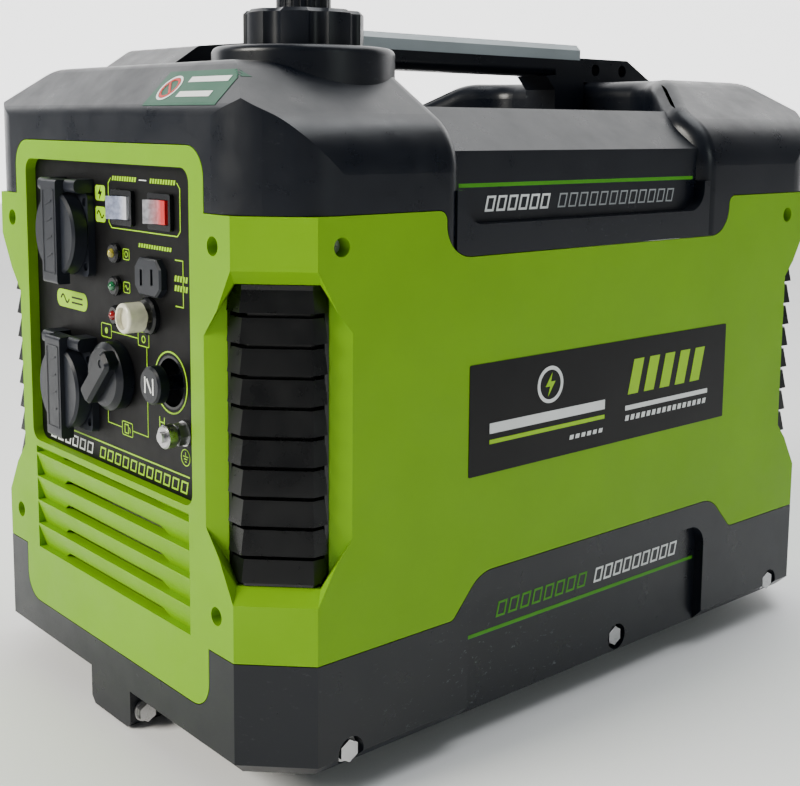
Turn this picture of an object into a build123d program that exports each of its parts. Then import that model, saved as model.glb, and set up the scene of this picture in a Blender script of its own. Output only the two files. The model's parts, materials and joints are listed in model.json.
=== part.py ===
"""Enclosed inverter generator, millimetres.

X is the width (right side +X), Y the length (control panel at -Y), Z is up.
The origin is on the ground, under the middle of the casing.
"""
import math
import os

from build123d import *

# ---- driving dimensions of the casing ----
HALF_W = 166.0
HALF_L = 250.0
CHAMFER = 31.0
WALL = 3.0
SEAM = 0.5

Z_BASE = 18.0
Z_LOWER_SPLIT = 80.0
Z_UPPER_SPLIT = 312.0
Z_RIM = 364.0
Z_TOP = 390.0

# corners (y, z) of the steps where the black shells reach into the green band
Z_NOTCH_LOW = 103.5
Z_NOTCH_HIGH = 286.0
NOTCH_HIGH = ((-132.0, Z_UPPER_SPLIT), (-132.0, Z_NOTCH_HIGH), (125.0, Z_NOTCH_HIGH), (125.0, Z_UPPER_SPLIT))
NOTCH_LOW = ((-124.0, Z_LOWER_SPLIT), (-103.0, Z_NOTCH_LOW), (119.0, Z_NOTCH_LOW), (141.0, Z_LOWER_SPLIT))
NOTCH_HIGH_R = 18.0
NOTCH_LOW_R = 22.0
NOTCH_ROOT_R = 6.0

# tongue of the green end covers between the black shells
TONGUE_HALF_W = 111.0
TONGUE_Z = (45.0, 345.5)
TONGUE_R = 16.0

# control panel well
PANEL_HALF_W = 97.0
PANEL_Z = (154.0, 334.0)
PANEL_Y = -243.5
PANEL_T = 2.5

# louvres below the panel
LOUVRE_HALF_W = 93.0
LOUVRE_SLOT_HALF_W = 57.0
LOUVRE_PITCH = 15.8
LOUVRE_COUNT = 5
LOUVRE_TOP = 145.5
LOUVRE_DEPTH = 5.0
LOUVRE_SLOT_H = 4.0

# corner grilles, measured along the chamfer facet (s) and up (z)
GRILLE_Z = (119.0, 277.0)
GRILLE_END_HALF = 22.0
GRILLE_FRONT_X = 118.0
GRILLE_SIDE_Y = 205.0
GRILLE_BEVEL = 9.0
GRILLE_DEPTH = 14.0
GRILLE_BACK_T = 2.5
FIN_COUNT = 10
FIN_PITCH = 15.8
FIN_HEIGHT = 13.0
FIN_INSET = (7.0, 9.5)

# hand recess and handle on the top
RECESS_Y = (-119.0, 97.0)
RECESS_Z = 367.0
SETBACK = 8.0
LEDGE_X = 126.0
SLOPE_Z = 343.0
SILL_Z = 303.0
WINDOW_R = 14.0
HUMP_R = 12.0
HUMP_WALL = 8.0
SHOULDER_R = 36.0
SLOPE_RUN = 26.0
TOP_CORNER_R = 40.0
TROUGH_HALF_W = 85.0
TROUGH_Y = (-74.0, 112.0)
TROUGH_Z = 350.0
GRIP_HALF_W = 15.0
GRIP_Z = (393.5, 406.0)
BAR_HALF_W = 13.0
BAR_Z = (406.0, 417.5)
GRIP_Y = (-87.0, 149.0)
POST_DEPTH = 32.0

# fuel cap
CAP_X = 72.0
CAP_Y = -158.0
COLLAR_R = 52.0
COLLAR_Z = 399.0
COLLAR_WELL_R = 43.0
NECK_R = 22.0
CAP_R = 34.0
CAP_Z = (399.5, 419.5)
VENT_R = 15.5
VENT_TOP = 432.0

# engine line
CRANK_Y = 70.0
CRANK_Z = 120.0
CRANK_R = 12.5
ROTOR_R = 62.0

# feet and bosses under the base
FOOT_X = 112.0
FOOT_Y = 165.0
FOOT_R = 18.0
BOSS_HALF_W = 24.0
BOSS_Z = (1.5, 30.0)
BOSS_BOLT_Z = 11.0

# exhaust outlet at the rear, level with the breaker button at the front
REACH_Y = 261.5
EXHAUST_X = 60.0
EXHAUST_Z = 205.0

# recoil starter pocket on the left side
PULL_Y = 70.0
PULL_Z = 254.0
PULL_POCKET = (76.0, 40.0, 26.0)

FAR = 400.0
RUN = 0.05


# ---- small helpers ----
def block(x, y, z):
    """Box given by its limits along each axis."""
    size = (x[1] - x[0], y[1] - y[0], z[1] - z[0])
    middle = ((x[0] + x[1]) / 2, (y[0] + y[1]) / 2, (z[0] + z[1]) / 2)
    return Pos(*middle) * Box(*size)


def soft_block(x, y, z, radius, axis):
    """Box with the four edges parallel to one axis rounded."""
    solid = block(x, y, z)
    return fillet(solid.edges().filter_by(axis), radius)


def rod_x(x, y, z, radius):
    """Cylinder along X between two x values."""
    turned = Rot(0, 90, 0) * Cylinder(radius, x[1] - x[0])
    return Pos((x[0] + x[1]) / 2, y, z) * turned


def rod_y(x, y, z, radius):
    """Cylinder along Y between two y values."""
    turned = Rot(90, 0, 0) * Cylinder(radius, y[1] - y[0])
    return Pos(x, (y[0] + y[1]) / 2, z) * turned


def rod_z(x, y, z, radius):
    """Cylinder along Z between two z values."""
    return Pos(x, y, (z[0] + z[1]) / 2) * Cylinder(radius, z[1] - z[0])


def as_sketch(outline):
    """Accept a ready sketch or a list of corner points."""
    return Polygon(*outline, align=None) if isinstance(outline, list) else outline


def extrude_x(outline, x):
    """Solid from a (y, z) outline between two x values."""
    face = Plane.YZ * as_sketch(outline)
    return Pos(x[0], 0, 0) * extrude(face, x[1] - x[0], dir=(1, 0, 0))


def extrude_y(outline, y):
    """Solid from an (x, z) outline between two y values."""
    face = Plane.XZ * as_sketch(outline)
    return Pos(0, y[0], 0) * extrude(face, y[1] - y[0], dir=(0, 1, 0))


def extrude_z(outline, z):
    """Solid from an (x, y) outline between two z values."""
    return Pos(0, 0, z[0]) * extrude(as_sketch(outline), z[1] - z[0], dir=(0, 0, 1))


def half(side):
    """Everything on one side of the middle plane: +1 is right, -1 is left."""
    limits = (0.0, FAR) if side > 0 else (-FAR, 0.0)
    return block(limits, (-FAR, FAR), (-FAR, 2 * FAR))


def octagon(inset=0.0):
    """Plan outline of the casing, pulled in by inset."""
    w = HALF_W - inset
    d = HALF_L - inset
    c = CHAMFER - inset * (2 - math.sqrt(2))
    points = [(-w + c, -d), (w - c, -d), (w, -d + c), (w, d - c)]
    points += [(w - c, d), (-w + c, d), (-w, d - c), (-w, -d + c)]
    return Polygon(*points, align=None)


def prism(z, inset=0.0):
    """Casing outline between two heights."""
    return extrude_z(octagon(inset), z)


def save(node, solid):
    """Write one node as a STEP file."""
    export_step(solid, f"parts/{node}.step")


# ---- zones that split the casing into its covers ----
def tongue(end, grow=0.0):
    """Zone of a green end tongue; end is -1 at the front and +1 at the rear."""
    x = (-TONGUE_HALF_W - grow, TONGUE_HALF_W + grow)
    z = (TONGUE_Z[0] - grow, TONGUE_Z[1] + grow)
    y = (-300.0, -200.0) if end < 0 else (200.0, 300.0)
    return soft_block(x, y, z, TONGUE_R + grow, Axis.Y)


def seam_zone(corners, far_z, tip_radius, grow):
    """Everything beyond a seam line that steps into the green band."""
    seam_z = corners[0][1]
    tip_z = corners[1][1]
    outline = Polygon((-FAR, seam_z), *corners, (FAR, seam_z), (FAR, far_z), (-FAR, far_z), align=None)
    tips = [v for v in outline.vertices() if abs(v.Y - tip_z) < 0.1]
    outline = fillet(tips, tip_radius)
    roots = [v for v in outline.vertices() if abs(v.Y - seam_z) < 0.1 and abs(v.X) < FAR - 1]
    outline = fillet(roots, NOTCH_ROOT_R)
    return extrude_x(offset(outline, grow) if grow else outline, (-FAR, FAR))


def tongues(grow=0.0):
    return tongue(-1, grow) + tongue(1, grow)


def top_zone(grow=0.0):
    return seam_zone(NOTCH_HIGH, 2 * FAR, NOTCH_HIGH_R, grow) - tongues(SEAM - grow)


def base_zone(grow=0.0):
    return seam_zone(NOTCH_LOW, -FAR, NOTCH_LOW_R, grow) - tongues(SEAM - grow)


def end_zone(end):
    """Everything beyond the seam in the middle of the corner chamfers."""
    seam_y = HALF_L - CHAMFER / 2
    corner = (HALF_W - CHAMFER / 2, seam_y)
    inner = (HALF_W - CHAMFER / 2 - 60, seam_y - 60)
    points = [inner, (corner[0] + 60, seam_y + 60), (-corner[0] - 60, seam_y + 60), (-inner[0], inner[1])]
    zone = extrude_z(points, (-50.0, 450.0))
    return zone if end > 0 else mirror(zone, about=Plane.XZ)


# ---- corner grille ----
def corner_place(side, end):
    """Mirror a front-right solid to the given corner."""
    def place(solid):
        if side < 0 and end > 0:
            return Rot(0, 0, 180) * solid
        if side < 0:
            return mirror(solid, about=Plane.YZ)
        if end > 0:
            return mirror(solid, about=Plane.XZ)
        return solid
    return place


def grille_face(grow):
    """Elongated octagon of the grille opening in its own plane."""
    top = GRILLE_Z[1] + grow
    low = GRILLE_Z[0] - grow
    wide = 60.0
    slope_top = (wide - GRILLE_END_HALF) * 1.6
    points = [(-GRILLE_END_HALF, top), (GRILLE_END_HALF, top), (wide, top - slope_top), (wide, low + slope_top)]
    points += [(GRILLE_END_HALF, low), (-GRILLE_END_HALF, low), (-wide, low + slope_top), (-wide, top - slope_top)]
    return Polygon(*points, align=None)


def grille_plane(depth):
    """Plane parallel to the front-right chamfer facet, depth below it."""
    shift = depth / math.sqrt(2)
    x = HALF_W - CHAMFER / 2 - shift
    y = -(HALF_L - CHAMFER / 2) + shift
    return Plane(origin=(x, y, 0), x_dir=(1, 1, 0), z_dir=(1, -1, 0))


def grille_cut(grow=0.0, b=GRILLE_BEVEL):
    """Opening through the front-right corner, widening outwards by its bevel b."""
    front = GRILLE_FRONT_X - grow
    side = -GRILLE_SIDE_Y + grow
    plan = [(front - b, -HALF_L - 1), (front, -HALF_L + b), (front, side), (HALF_W - b, side)]
    plan += [(HALF_W + 1, side + b), (HALF_W + 40, side + b), (HALF_W + 40, -HALF_L - 40), (front - b, -HALF_L - 40)]
    wedge = extrude_z(plan, (60.0, 340.0))
    mouth = grille_plane(-2.0) * grille_face(grow + b)
    throat = grille_plane(b) * grille_face(grow)
    back = grille_plane(60.0) * grille_face(grow)
    tunnel = loft([back.face(), throat.face()]) + loft([throat.face(), mouth.face()])
    return wedge & tunnel


def make_grille():
    """Black louvre insert of the front-right corner."""
    gap = 0.4
    opening = grille_cut(-gap)
    z = (GRILLE_Z[0] - 5, GRILLE_Z[1] + 5)
    back = GRILLE_DEPTH + GRILLE_BACK_T
    backing = (prism(z, GRILLE_DEPTH) - prism(z, back)) & opening
    rim_z = (GRILLE_Z[0] - 20, GRILLE_Z[1] + 20)
    rim_band = prism(rim_z, GRILLE_BEVEL) - prism(rim_z, back)
    rim = rim_band & (opening - grille_cut(-gap - 2.5))
    solid = rim + backing
    mouth = grille_cut(-gap - 2.0, 0.0)
    first = (GRILLE_Z[0] + GRILLE_Z[1] - (FIN_COUNT - 1) * FIN_PITCH) / 2
    for index in range(FIN_COUNT):
        middle = first + index * FIN_PITCH
        low = middle - FIN_HEIGHT / 2
        bottom = Pos(0, 0, low) * octagon(FIN_INSET[0])
        top = Pos(0, 0, low + FIN_HEIGHT) * octagon(FIN_INSET[1])
        blade = loft([bottom.face(), top.face()]) - prism((low, low + FIN_HEIGHT), GRILLE_DEPTH + 1)
        solid += blade & mouth
    return solid


# ---- screw pockets in the green covers ----
SCREW_SHANK_R = 2.0
SCREW_HEAD_R = 4.0
SCREW_HEAD_T = 3.0
SCREW_DEPTH = 7.0
POCKET_R = 5.0
PILLAR_R = 8.0
PILLAR_T = 17.0


def screw_spots():
    """Cover screws as (x, y, z, outward direction)."""
    spots = []
    for end in (-1, 1):
        for x in (-119.0, 119.0):
            for z in (101.0, 295.5):
                spots.append((x, end * HALF_L, z, (0, end, 0)))
    for side in (-1, 1):
        for y in (-204.0, 196.0):
            spots.append((side * HALF_W, y, 296.0, (side, 0, 0)))
    return spots


def along(spot, start, stop, radius):
    """Cylinder on a screw's axis from start to stop below the surface."""
    x, y, z, out = spot
    frame = Plane(origin=(x - out[0] * stop, y - out[1] * stop, z), z_dir=out)
    return frame * Pos(0, 0, (stop - start) / 2) * Cylinder(radius, stop - start)


def screw_solid(spot):
    head = along(spot, SCREW_DEPTH, SCREW_DEPTH + SCREW_HEAD_T, SCREW_HEAD_R)
    cross = along(spot, SCREW_DEPTH, SCREW_DEPTH + 1.5, 2.4)
    x, y, z, out = spot
    upright = Box(1.6, 1.6, 4.4)
    level_bar = Box(1.6, 4.4, 0.9) if out[0] else Box(4.4, 1.6, 0.9)
    level = SCREW_DEPTH + 0.7
    place = Pos(x - out[0] * level, y - out[1] * level, z)
    tool = (place * upright + place * level_bar) & cross
    shank = along(spot, SCREW_DEPTH + SCREW_HEAD_T, PILLAR_T - 1, SCREW_SHANK_R)
    return head - tool + shank


def add_pillars(solid, zone):
    """Screw pillars and pockets for the spots that lie in a cover's zone."""
    for spot in screw_spots():
        x, y, z, out = spot
        probe = Pos(x - out[0], y - out[1], z) * Box(1, 1, 1)
        inside = probe & zone
        if not inside.solids():
            continue
        solid += along(spot, 1.0, PILLAR_T, PILLAR_R)
        solid -= along(spot, -1.0, SCREW_DEPTH + SCREW_HEAD_T, POCKET_R)
        solid -= along(spot, SCREW_DEPTH, PILLAR_T - 1, SCREW_SHANK_R)
        head_seat = along(spot, SCREW_DEPTH + SCREW_HEAD_T, SCREW_DEPTH + SCREW_HEAD_T + 1, SCREW_SHANK_R)
        solid -= head_seat
    return solid


# ---- green covers ----
def green_band():
    """Casing wall between the black shells, with both end tongues."""
    z = (TONGUE_Z[0] - 2, TONGUE_Z[1] + 2)
    ring = prism(z) - prism(z, WALL)
    return ring - top_zone(SEAM) - base_zone(SEAM)


def corner_frames():
    """Thick bevelled rims round the four grille openings."""
    z = (GRILLE_Z[0] - 16, GRILLE_Z[1] + 16)
    rim = (prism(z, 0.5) - prism(z, GRILLE_BEVEL + 1)) & grille_cut(3.0)
    return [corner_place(side, end)(rim) for side in (-1, 1) for end in (-1, 1)]


def corner_cuts():
    cut = grille_cut()
    return [corner_place(side, end)(cut) for side in (-1, 1) for end in (-1, 1)]


def louvre_slope(z_low, z_high):
    """Cut that leaves a sloping rib standing proud at its upper edge."""
    points = [(-HALF_L - 1, z_low), (-HALF_L + LOUVRE_DEPTH, z_low), (-HALF_L, z_high - 1), (-HALF_L - 1, z_high - 1)]
    return extrude_x(points, (-LOUVRE_HALF_W, LOUVRE_HALF_W))


def louvre_slot(z_low):
    """Through slot over the edge of a rib, narrowing upwards at its ends."""
    half_low = LOUVRE_SLOT_HALF_W + 7
    z_high = z_low + LOUVRE_SLOT_H
    points = [(-half_low, z_low), (half_low, z_low), (LOUVRE_SLOT_HALF_W, z_high), (-LOUVRE_SLOT_HALF_W, z_high)]
    return extrude_y(points, (-HALF_L - 5, -HALF_L + 12))


def louvre_field(solid):
    """Thicken the lower front face and cut its ribs and slots."""
    z_top = PANEL_Z[0] - WALL
    z_low = LOUVRE_TOP - LOUVRE_COUNT * LOUVRE_PITCH
    x = (-LOUVRE_HALF_W - WALL, LOUVRE_HALF_W + WALL)
    solid += block(x, (-HALF_L + 1, -HALF_L + LOUVRE_DEPTH + WALL), (z_low, z_top))
    for index in range(LOUVRE_COUNT):
        z = LOUVRE_TOP - index * LOUVRE_PITCH
        solid -= louvre_slope(z, min(z + LOUVRE_PITCH, z_top))
        solid -= louvre_slot(z)
    return solid


def make_front_cover(band, frames, cuts):
    zone = end_zone(-1)
    solid = band & zone
    for frame in frames:
        solid += frame & zone
    outer = (-PANEL_HALF_W - WALL, PANEL_HALF_W + WALL)
    outer_z = (PANEL_Z[0] - WALL, PANEL_Z[1] + WALL)
    solid += soft_block(outer, (-HALF_L, PANEL_Y), outer_z, 10.0, Axis.Y)
    well = soft_block((-PANEL_HALF_W, PANEL_HALF_W), (-HALF_L - 5, PANEL_Y + 5), PANEL_Z, 8.0, Axis.Y)
    solid = louvre_field(solid - well)
    solid = add_pillars(solid, zone)
    for cut in cuts:
        solid -= cut
    return solid


def make_rear_cover(band, frames, cuts):
    """Rear end cover with cooling slots and the exhaust opening."""
    zone = end_zone(1)
    solid = band & zone
    for frame in frames:
        solid += frame & zone
    for row in range(6):
        z = 72.0 + row * 13.0
        slot = soft_block((-80.0, 80.0), (HALF_L - 6, HALF_L + 2), (z, z + 5.0), 2.4, Axis.Y)
        solid -= slot
    for row in range(5):
        z = 262.0 + row * 13.0
        solid -= soft_block((-80.0, 80.0), (HALF_L - 6, HALF_L + 2), (z, z + 5.0), 2.4, Axis.Y)
    solid -= rod_y(EXHAUST_X, (HALF_L - 20, HALF_L + 20), EXHAUST_Z, 27.0)
    solid = add_pillars(solid, zone)
    for cut in cuts:
        solid -= cut
    return solid


def make_side_cover(side, band, frames, cuts):
    zone = half(side) - end_zone(-1) - end_zone(1)
    solid = band & zone
    for frame in frames:
        solid += frame & zone
    solid = add_pillars(solid, zone)
    if side < 0:
        solid = add_pull_pocket(solid)
    for cut in cuts:
        solid -= cut
    return solid


def add_pull_pocket(solid):
    """Pocket that hides the recoil grip in the left cover."""
    length, height, depth = PULL_POCKET
    y = (PULL_Y - length / 2, PULL_Y + length / 2)
    z = (PULL_Z - height / 2, PULL_Z + height / 2)
    outer = soft_block((-HALF_W, -HALF_W + depth + WALL), (y[0] - WALL, y[1] + WALL),
                       (z[0] - WALL, z[1] + WALL), 9.0, Axis.X)
    inner = soft_block((-HALF_W - 5, -HALF_W + depth), y, z, 7.0, Axis.X)
    eyelet = rod_x((-HALF_W + depth - 1, -HALF_W + depth + WALL + 1), PULL_Y, PULL_Z, 7.0)
    return solid + outer - inner - eyelet


# ---- black top shell ----
def shoulder_form():
    """Side shoulders of the top, extruded along the length."""
    points = [(-HALF_W, 250.0), (HALF_W, 250.0), (HALF_W, 352.0), (104.0, Z_TOP), (-104.0, Z_TOP), (-HALF_W, 352.0)]
    outline = Polygon(*points, align=None)
    upper = [v for v in outline.vertices() if v.Y > 300]
    outline = fillet(upper, SHOULDER_R)
    return extrude_y(outline, (-HALF_L, HALF_L))


def slope_form():
    """Front and rear slopes of the top, extruded across the width."""
    crest = HALF_L - SLOPE_RUN
    points = [(-HALF_L, 250.0), (HALF_L, 250.0), (HALF_L, Z_RIM), (crest, Z_TOP), (-crest, Z_TOP), (-HALF_L, Z_RIM)]
    outline = Polygon(*points, align=None)
    upper = [v for v in outline.vertices() if v.Y > 300]
    outline = fillet(upper, 9.0)
    return extrude_x(outline, (-HALF_W, HALF_W))


def top_block(inset):
    """Solid outline of the top as if its middle were not lowered."""
    plan = prism((250.0, Z_TOP + 1), inset)
    plan = fillet(plan.edges().filter_by(Axis.Z), TOP_CORNER_R - inset)
    form = plan & shoulder_form() & slope_form()
    return Pos(0, 0, -inset) * form if inset else form


def front_hump(inset):
    """Hump between the front slope and the hand recess."""
    face_y = RECESS_Y[0] - (HUMP_WALL if inset else 0.0)
    solid = top_block(inset) & block((-FAR, FAR), (-FAR, face_y), (200.0, FAR * 2))
    crest = solid.faces().sort_by(Axis.Y)[-1].edges()
    crest = [e for e in crest if e.center().Z > 345 - inset]
    return solid if inset else fillet(crest, HUMP_R)


def rear_hump(inset):
    """Rear hump, whose face towards the handle bends back in the middle."""
    back = HUMP_WALL if inset else 0.0
    side_y = RECESS_Y[1] + back
    middle_y = GRIP_Y[1] + back
    points = [(-FAR, side_y), (-132.0, side_y), (-70.0, middle_y), (70.0, middle_y), (132.0, side_y), (FAR, side_y)]
    points += [(FAR, FAR), (-FAR, FAR)]
    outline = Polygon(*points, align=None)
    bends = [v for v in outline.vertices() if abs(v.X) < 140]
    outline = fillet(bends, 28.0)
    solid = top_block(inset) & extrude_z(outline, (200.0, 2 * FAR))
    crest = [e for e in solid.edges() if e.center().Y < middle_y + 1 and e.center().Z > 345 - inset]
    crest = [e for e in crest if e.bounding_box().max.Y < middle_y + 1]
    return solid if inset else fillet(crest, HUMP_R)


def low_middle(inset):
    """Lowered floor, side slopes and set-back bands between the humps."""
    edge = HALF_W - SETBACK - inset
    ledge = LEDGE_X - inset / 2
    floor_z = RECESS_Z - inset
    slope_z = SLOPE_Z - inset / 2
    points = [(-edge, 250.0), (edge, 250.0), (edge, slope_z), (ledge, floor_z), (-ledge, floor_z), (-edge, slope_z)]
    return extrude_y(points, (RECESS_Y[0] - 13, GRIP_Y[1] + 13))


def sill(inset):
    """Full-width band under the set-back, with rounded window corners."""
    y = (RECESS_Y[0] - 6, RECESS_Y[1] + 6)
    solid = top_block(inset) & block((-FAR, FAR), y, (200.0, 322.0))
    for side in (-1, 1):
        x = tuple(sorted((side * (HALF_W - SETBACK - inset), side * FAR)))
        window_y = (RECESS_Y[0] - inset, RECESS_Y[1] + inset)
        solid -= soft_block(x, window_y, (SILL_Z - inset, 400.0), WINDOW_R, Axis.X)
    return solid


def trough(inset):
    """Hand space under the grip."""
    x = (-TROUGH_HALF_W - inset, TROUGH_HALF_W + inset)
    y = (TROUGH_Y[0] - inset, TROUGH_Y[1] + inset)
    return soft_block(x, y, (TROUGH_Z - inset, 460.0), 12.0, Axis.Z)


def left_hump():
    """Raised block on the front left, behind the front slope."""
    points = [(-207.0, 380.0), (-170.0, 404.0), (-95.0, 411.0), (-82.0, 380.0)]
    outline = Polygon(*points, align=None)
    upper = [v for v in outline.vertices() if v.Y > 400]
    outline = fillet(upper, 8.0)
    solid = extrude_x(outline, (-112.0, -20.0))
    return fillet(solid.faces().sort_by(Axis.X)[0].edges().sort_by(Axis.Z)[-3:], 6.0)


def top_form(inset):
    solid = front_hump(inset) + rear_hump(inset) + low_middle(inset) + sill(inset)
    return solid - trough(inset)


def make_top_shell(side, outer, inner):
    """One half of the black top, split on the middle plane."""
    shell = (outer - inner) & top_zone() & half(side)
    if side > 0:
        collar = rod_z(CAP_X, CAP_Y, (355.0, COLLAR_Z), COLLAR_R)
        collar = fillet(collar.edges().sort_by(Axis.Z)[-1], 4.0)
        shell += collar - inner
        shell -= rod_z(CAP_X, CAP_Y, (COLLAR_Z - 5.0, COLLAR_Z + 1), COLLAR_WELL_R)
        shell -= rod_z(CAP_X, CAP_Y, (340.0, COLLAR_Z + 1), NECK_R + 4)
    else:
        shell += left_hump() - inner
    return shell


# ---- black base ----
SCALLOP_HALF_L = 112.0
SCALLOP_Z = 88.0
SCALLOP_R = 15.0


def base_block(inset):
    solid = prism((Z_BASE + inset, Z_NOTCH_LOW + 5), inset)
    bottom = solid.edges().filter_by(Plane.XY).group_by(Axis.Z)[0]
    return chamfer(bottom, 7.0)


def side_scallops(inset=0.0):
    """Shallow set-back along the lower long sides."""
    solids = []
    for side in (-1, 1):
        x = sorted((side * (HALF_W - 7 - inset), side * (HALF_W + 20)))
        y = (-SCALLOP_HALF_L - inset, SCALLOP_HALF_L + inset)
        cut = soft_block(tuple(x), y, (-30.0, SCALLOP_Z + inset), SCALLOP_R, Axis.X)
        solids.append(cut)
    return solids


def centre_boss(end):
    """Boss under the middle of an end, clamped by a cross bolt."""
    y = sorted((end * HALF_L, end * (HALF_L - 23)))
    shape = block((-BOSS_HALF_W, BOSS_HALF_W), tuple(y), BOSS_Z)
    return chamfer(shape.edges().filter_by(Axis.Y).sort_by(Axis.Z)[:2], 4.0)


BASE_BOLT_Y = (-197.0, 30.0, 195.0)
BASE_BOLT_Z = 27.0


def make_base(side):
    outer = base_block(0.0)
    inner = base_block(WALL)
    for cut in side_scallops():
        outer -= cut
    for cut in side_scallops(WALL):
        inner -= cut
    solid = (outer - inner) & base_zone()
    for end in (-1, 1):
        solid += centre_boss(end)
    for y in BASE_BOLT_Y:
        x_face = side * (HALF_W - (7 if abs(y) < 100 else 0))
        pillar = sorted((x_face, x_face - side * 22))
        solid += rod_x(tuple(pillar), y, BASE_BOLT_Z, 11.5) & outer
        pocket = sorted((x_face + side * 5, x_face - side * 7))
        solid -= rod_x(tuple(pocket), y, BASE_BOLT_Z, 8.5)
        hole = sorted((x_face, x_face - side * 30))
        solid -= rod_x(tuple(hole), y, BASE_BOLT_Z, 3.0)
    for end in (-1, 1):
        solid -= rod_x((-60, 60), end * (HALF_L - 9), BOSS_BOLT_Z, 3.0)
    for y in (-FOOT_Y, FOOT_Y):
        solid -= rod_z(side * FOOT_X, y, (0, 60), 3.0)
    solid &= half(side)
    return solid


def make_base_bolts():
    """Hex bolts low on the long sides, with their washers."""
    solids = []
    for side in (-1, 1):
        for y in BASE_BOLT_Y:
            x_face = side * (HALF_W - (7 if abs(y) < 100 else 0))
            seat = x_face - side * 7
            washer = rod_x(tuple(sorted((seat, seat + side * 1.2))), y, BASE_BOLT_Z, 7.5)
            hexagon = extrude(RegularPolygon(5.5, 6, major_radius=False), 4.5)
            x_start = seat + side * 1.2
            head = Pos(x_start, y, BASE_BOLT_Z) * Rot(0, 90 * side, 0) * hexagon
            shank = rod_x(tuple(sorted((seat, seat - side * 13))), y, BASE_BOLT_Z, 2.9)
            solids.append(washer + head + shank)
    return Compound(children=solids)


def make_boss_bolts():
    """Cross bolts that clamp the two base halves at the end bosses."""
    solids = []
    for end in (-1, 1):
        y = end * (HALF_L - 9)
        hexagon = extrude(RegularPolygon(5.0, 6, major_radius=False), 4.0)
        washer = rod_x((BOSS_HALF_W, BOSS_HALF_W + 1.2), y, BOSS_BOLT_Z, 6.5)
        head = Pos(BOSS_HALF_W + 1.2, y, BOSS_BOLT_Z) * Rot(0, 90, 0) * hexagon
        shank = rod_x((-BOSS_HALF_W - 5, BOSS_HALF_W), y, BOSS_BOLT_Z, 2.9)
        nut = Pos(-BOSS_HALF_W, y, BOSS_BOLT_Z) * Rot(0, -90, 0) * hexagon
        solids.append(washer + head + shank + nut)
    return Compound(children=solids)


def make_feet():
    solids = []
    for x in (-FOOT_X, FOOT_X):
        for y in (-FOOT_Y, FOOT_Y):
            pad = rod_z(x, y, (0, Z_BASE), FOOT_R)
            pad = chamfer(pad.edges().sort_by(Axis.Z)[0], 2.5)
            stem = rod_z(x, y, (Z_BASE, Z_BASE + WALL + 5), 2.9)
            solids.append(pad + stem)
    return Compound(children=solids)


# ---- control panel ----
SOCKET_X = -43.5
SOCKET_Z = (291.0, 197.0)
SOCKET_FLANGE = 50.0
SOCKET_FACE_Y = PANEL_Y - 4.5
SOCKET_BORE_R = 19.5
SOCKET_DEPTH = 17.0
LID_R = 25.5
LID_T = 9.4
STRAP_T = 2.8
STRAP_HALF_W = 9.6
PIN_R = 1.5
PIN_Y = SOCKET_FACE_Y - 4.0
PIN_RISE = SOCKET_FLANGE / 2 + 3.5
SWITCH_X = (17.5, 59.5)
SWITCH_Z = 309.0
SWITCH_SIZE = (24.0, 20.0)
ROCKER_SIZE = (19.0, 13.0)
LAMP_X = 7.5
LAMP_Z = (282.5, 263.5, 246.5)
LAMP_R = 4.0
DC_X = 49.0
DC_Z = 272.5
DC_SIZE = (28.0, 21.0)
BREAKER_X = 45.0
BREAKER_Z = 250.5
BREAKER_R = 8.5
KNOB_X = 6.0
KNOB_Z = 211.0
KNOB_R = 20.0
KNOB_T = 10.5
CHOKE_X = 65.5
CHOKE_Z = 216.0
CHOKE_R = 10.5
CHOKE_WELL_R = 15.0
GROUND_X = 80.0
GROUND_Z = 190.5


def make_panel():
    margin = 2.0
    x = (-PANEL_HALF_W - margin, PANEL_HALF_W + margin)
    z = (PANEL_Z[0] - margin, PANEL_Z[1] + margin)
    y = (PANEL_Y, PANEL_Y + PANEL_T)
    solid = soft_block(x, y, z, 8.0, Axis.Y)
    through = (PANEL_Y - 1, PANEL_Y + PANEL_T + 1)
    for socket_z in SOCKET_Z:
        solid -= rod_y(SOCKET_X, through, socket_z, SOCKET_BORE_R + 2.5)
    for switch_x in SWITCH_X:
        solid -= block((switch_x - 10.5, switch_x + 10.5), through, (SWITCH_Z - 8, SWITCH_Z + 8))
    for lamp_z in LAMP_Z:
        solid -= rod_y(LAMP_X, through, lamp_z, LAMP_R)
    solid -= block((DC_X - 11, DC_X + 11), through, (DC_Z - 8, DC_Z + 8))
    solid -= rod_y(BREAKER_X, through, BREAKER_Z, 6.0)
    solid -= rod_y(KNOB_X, through, KNOB_Z, 5.0)
    solid -= rod_y(CHOKE_X, through, CHOKE_Z, CHOKE_WELL_R)
    solid -= rod_y(GROUND_X, through, GROUND_Z, 3.1)
    return solid


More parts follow.
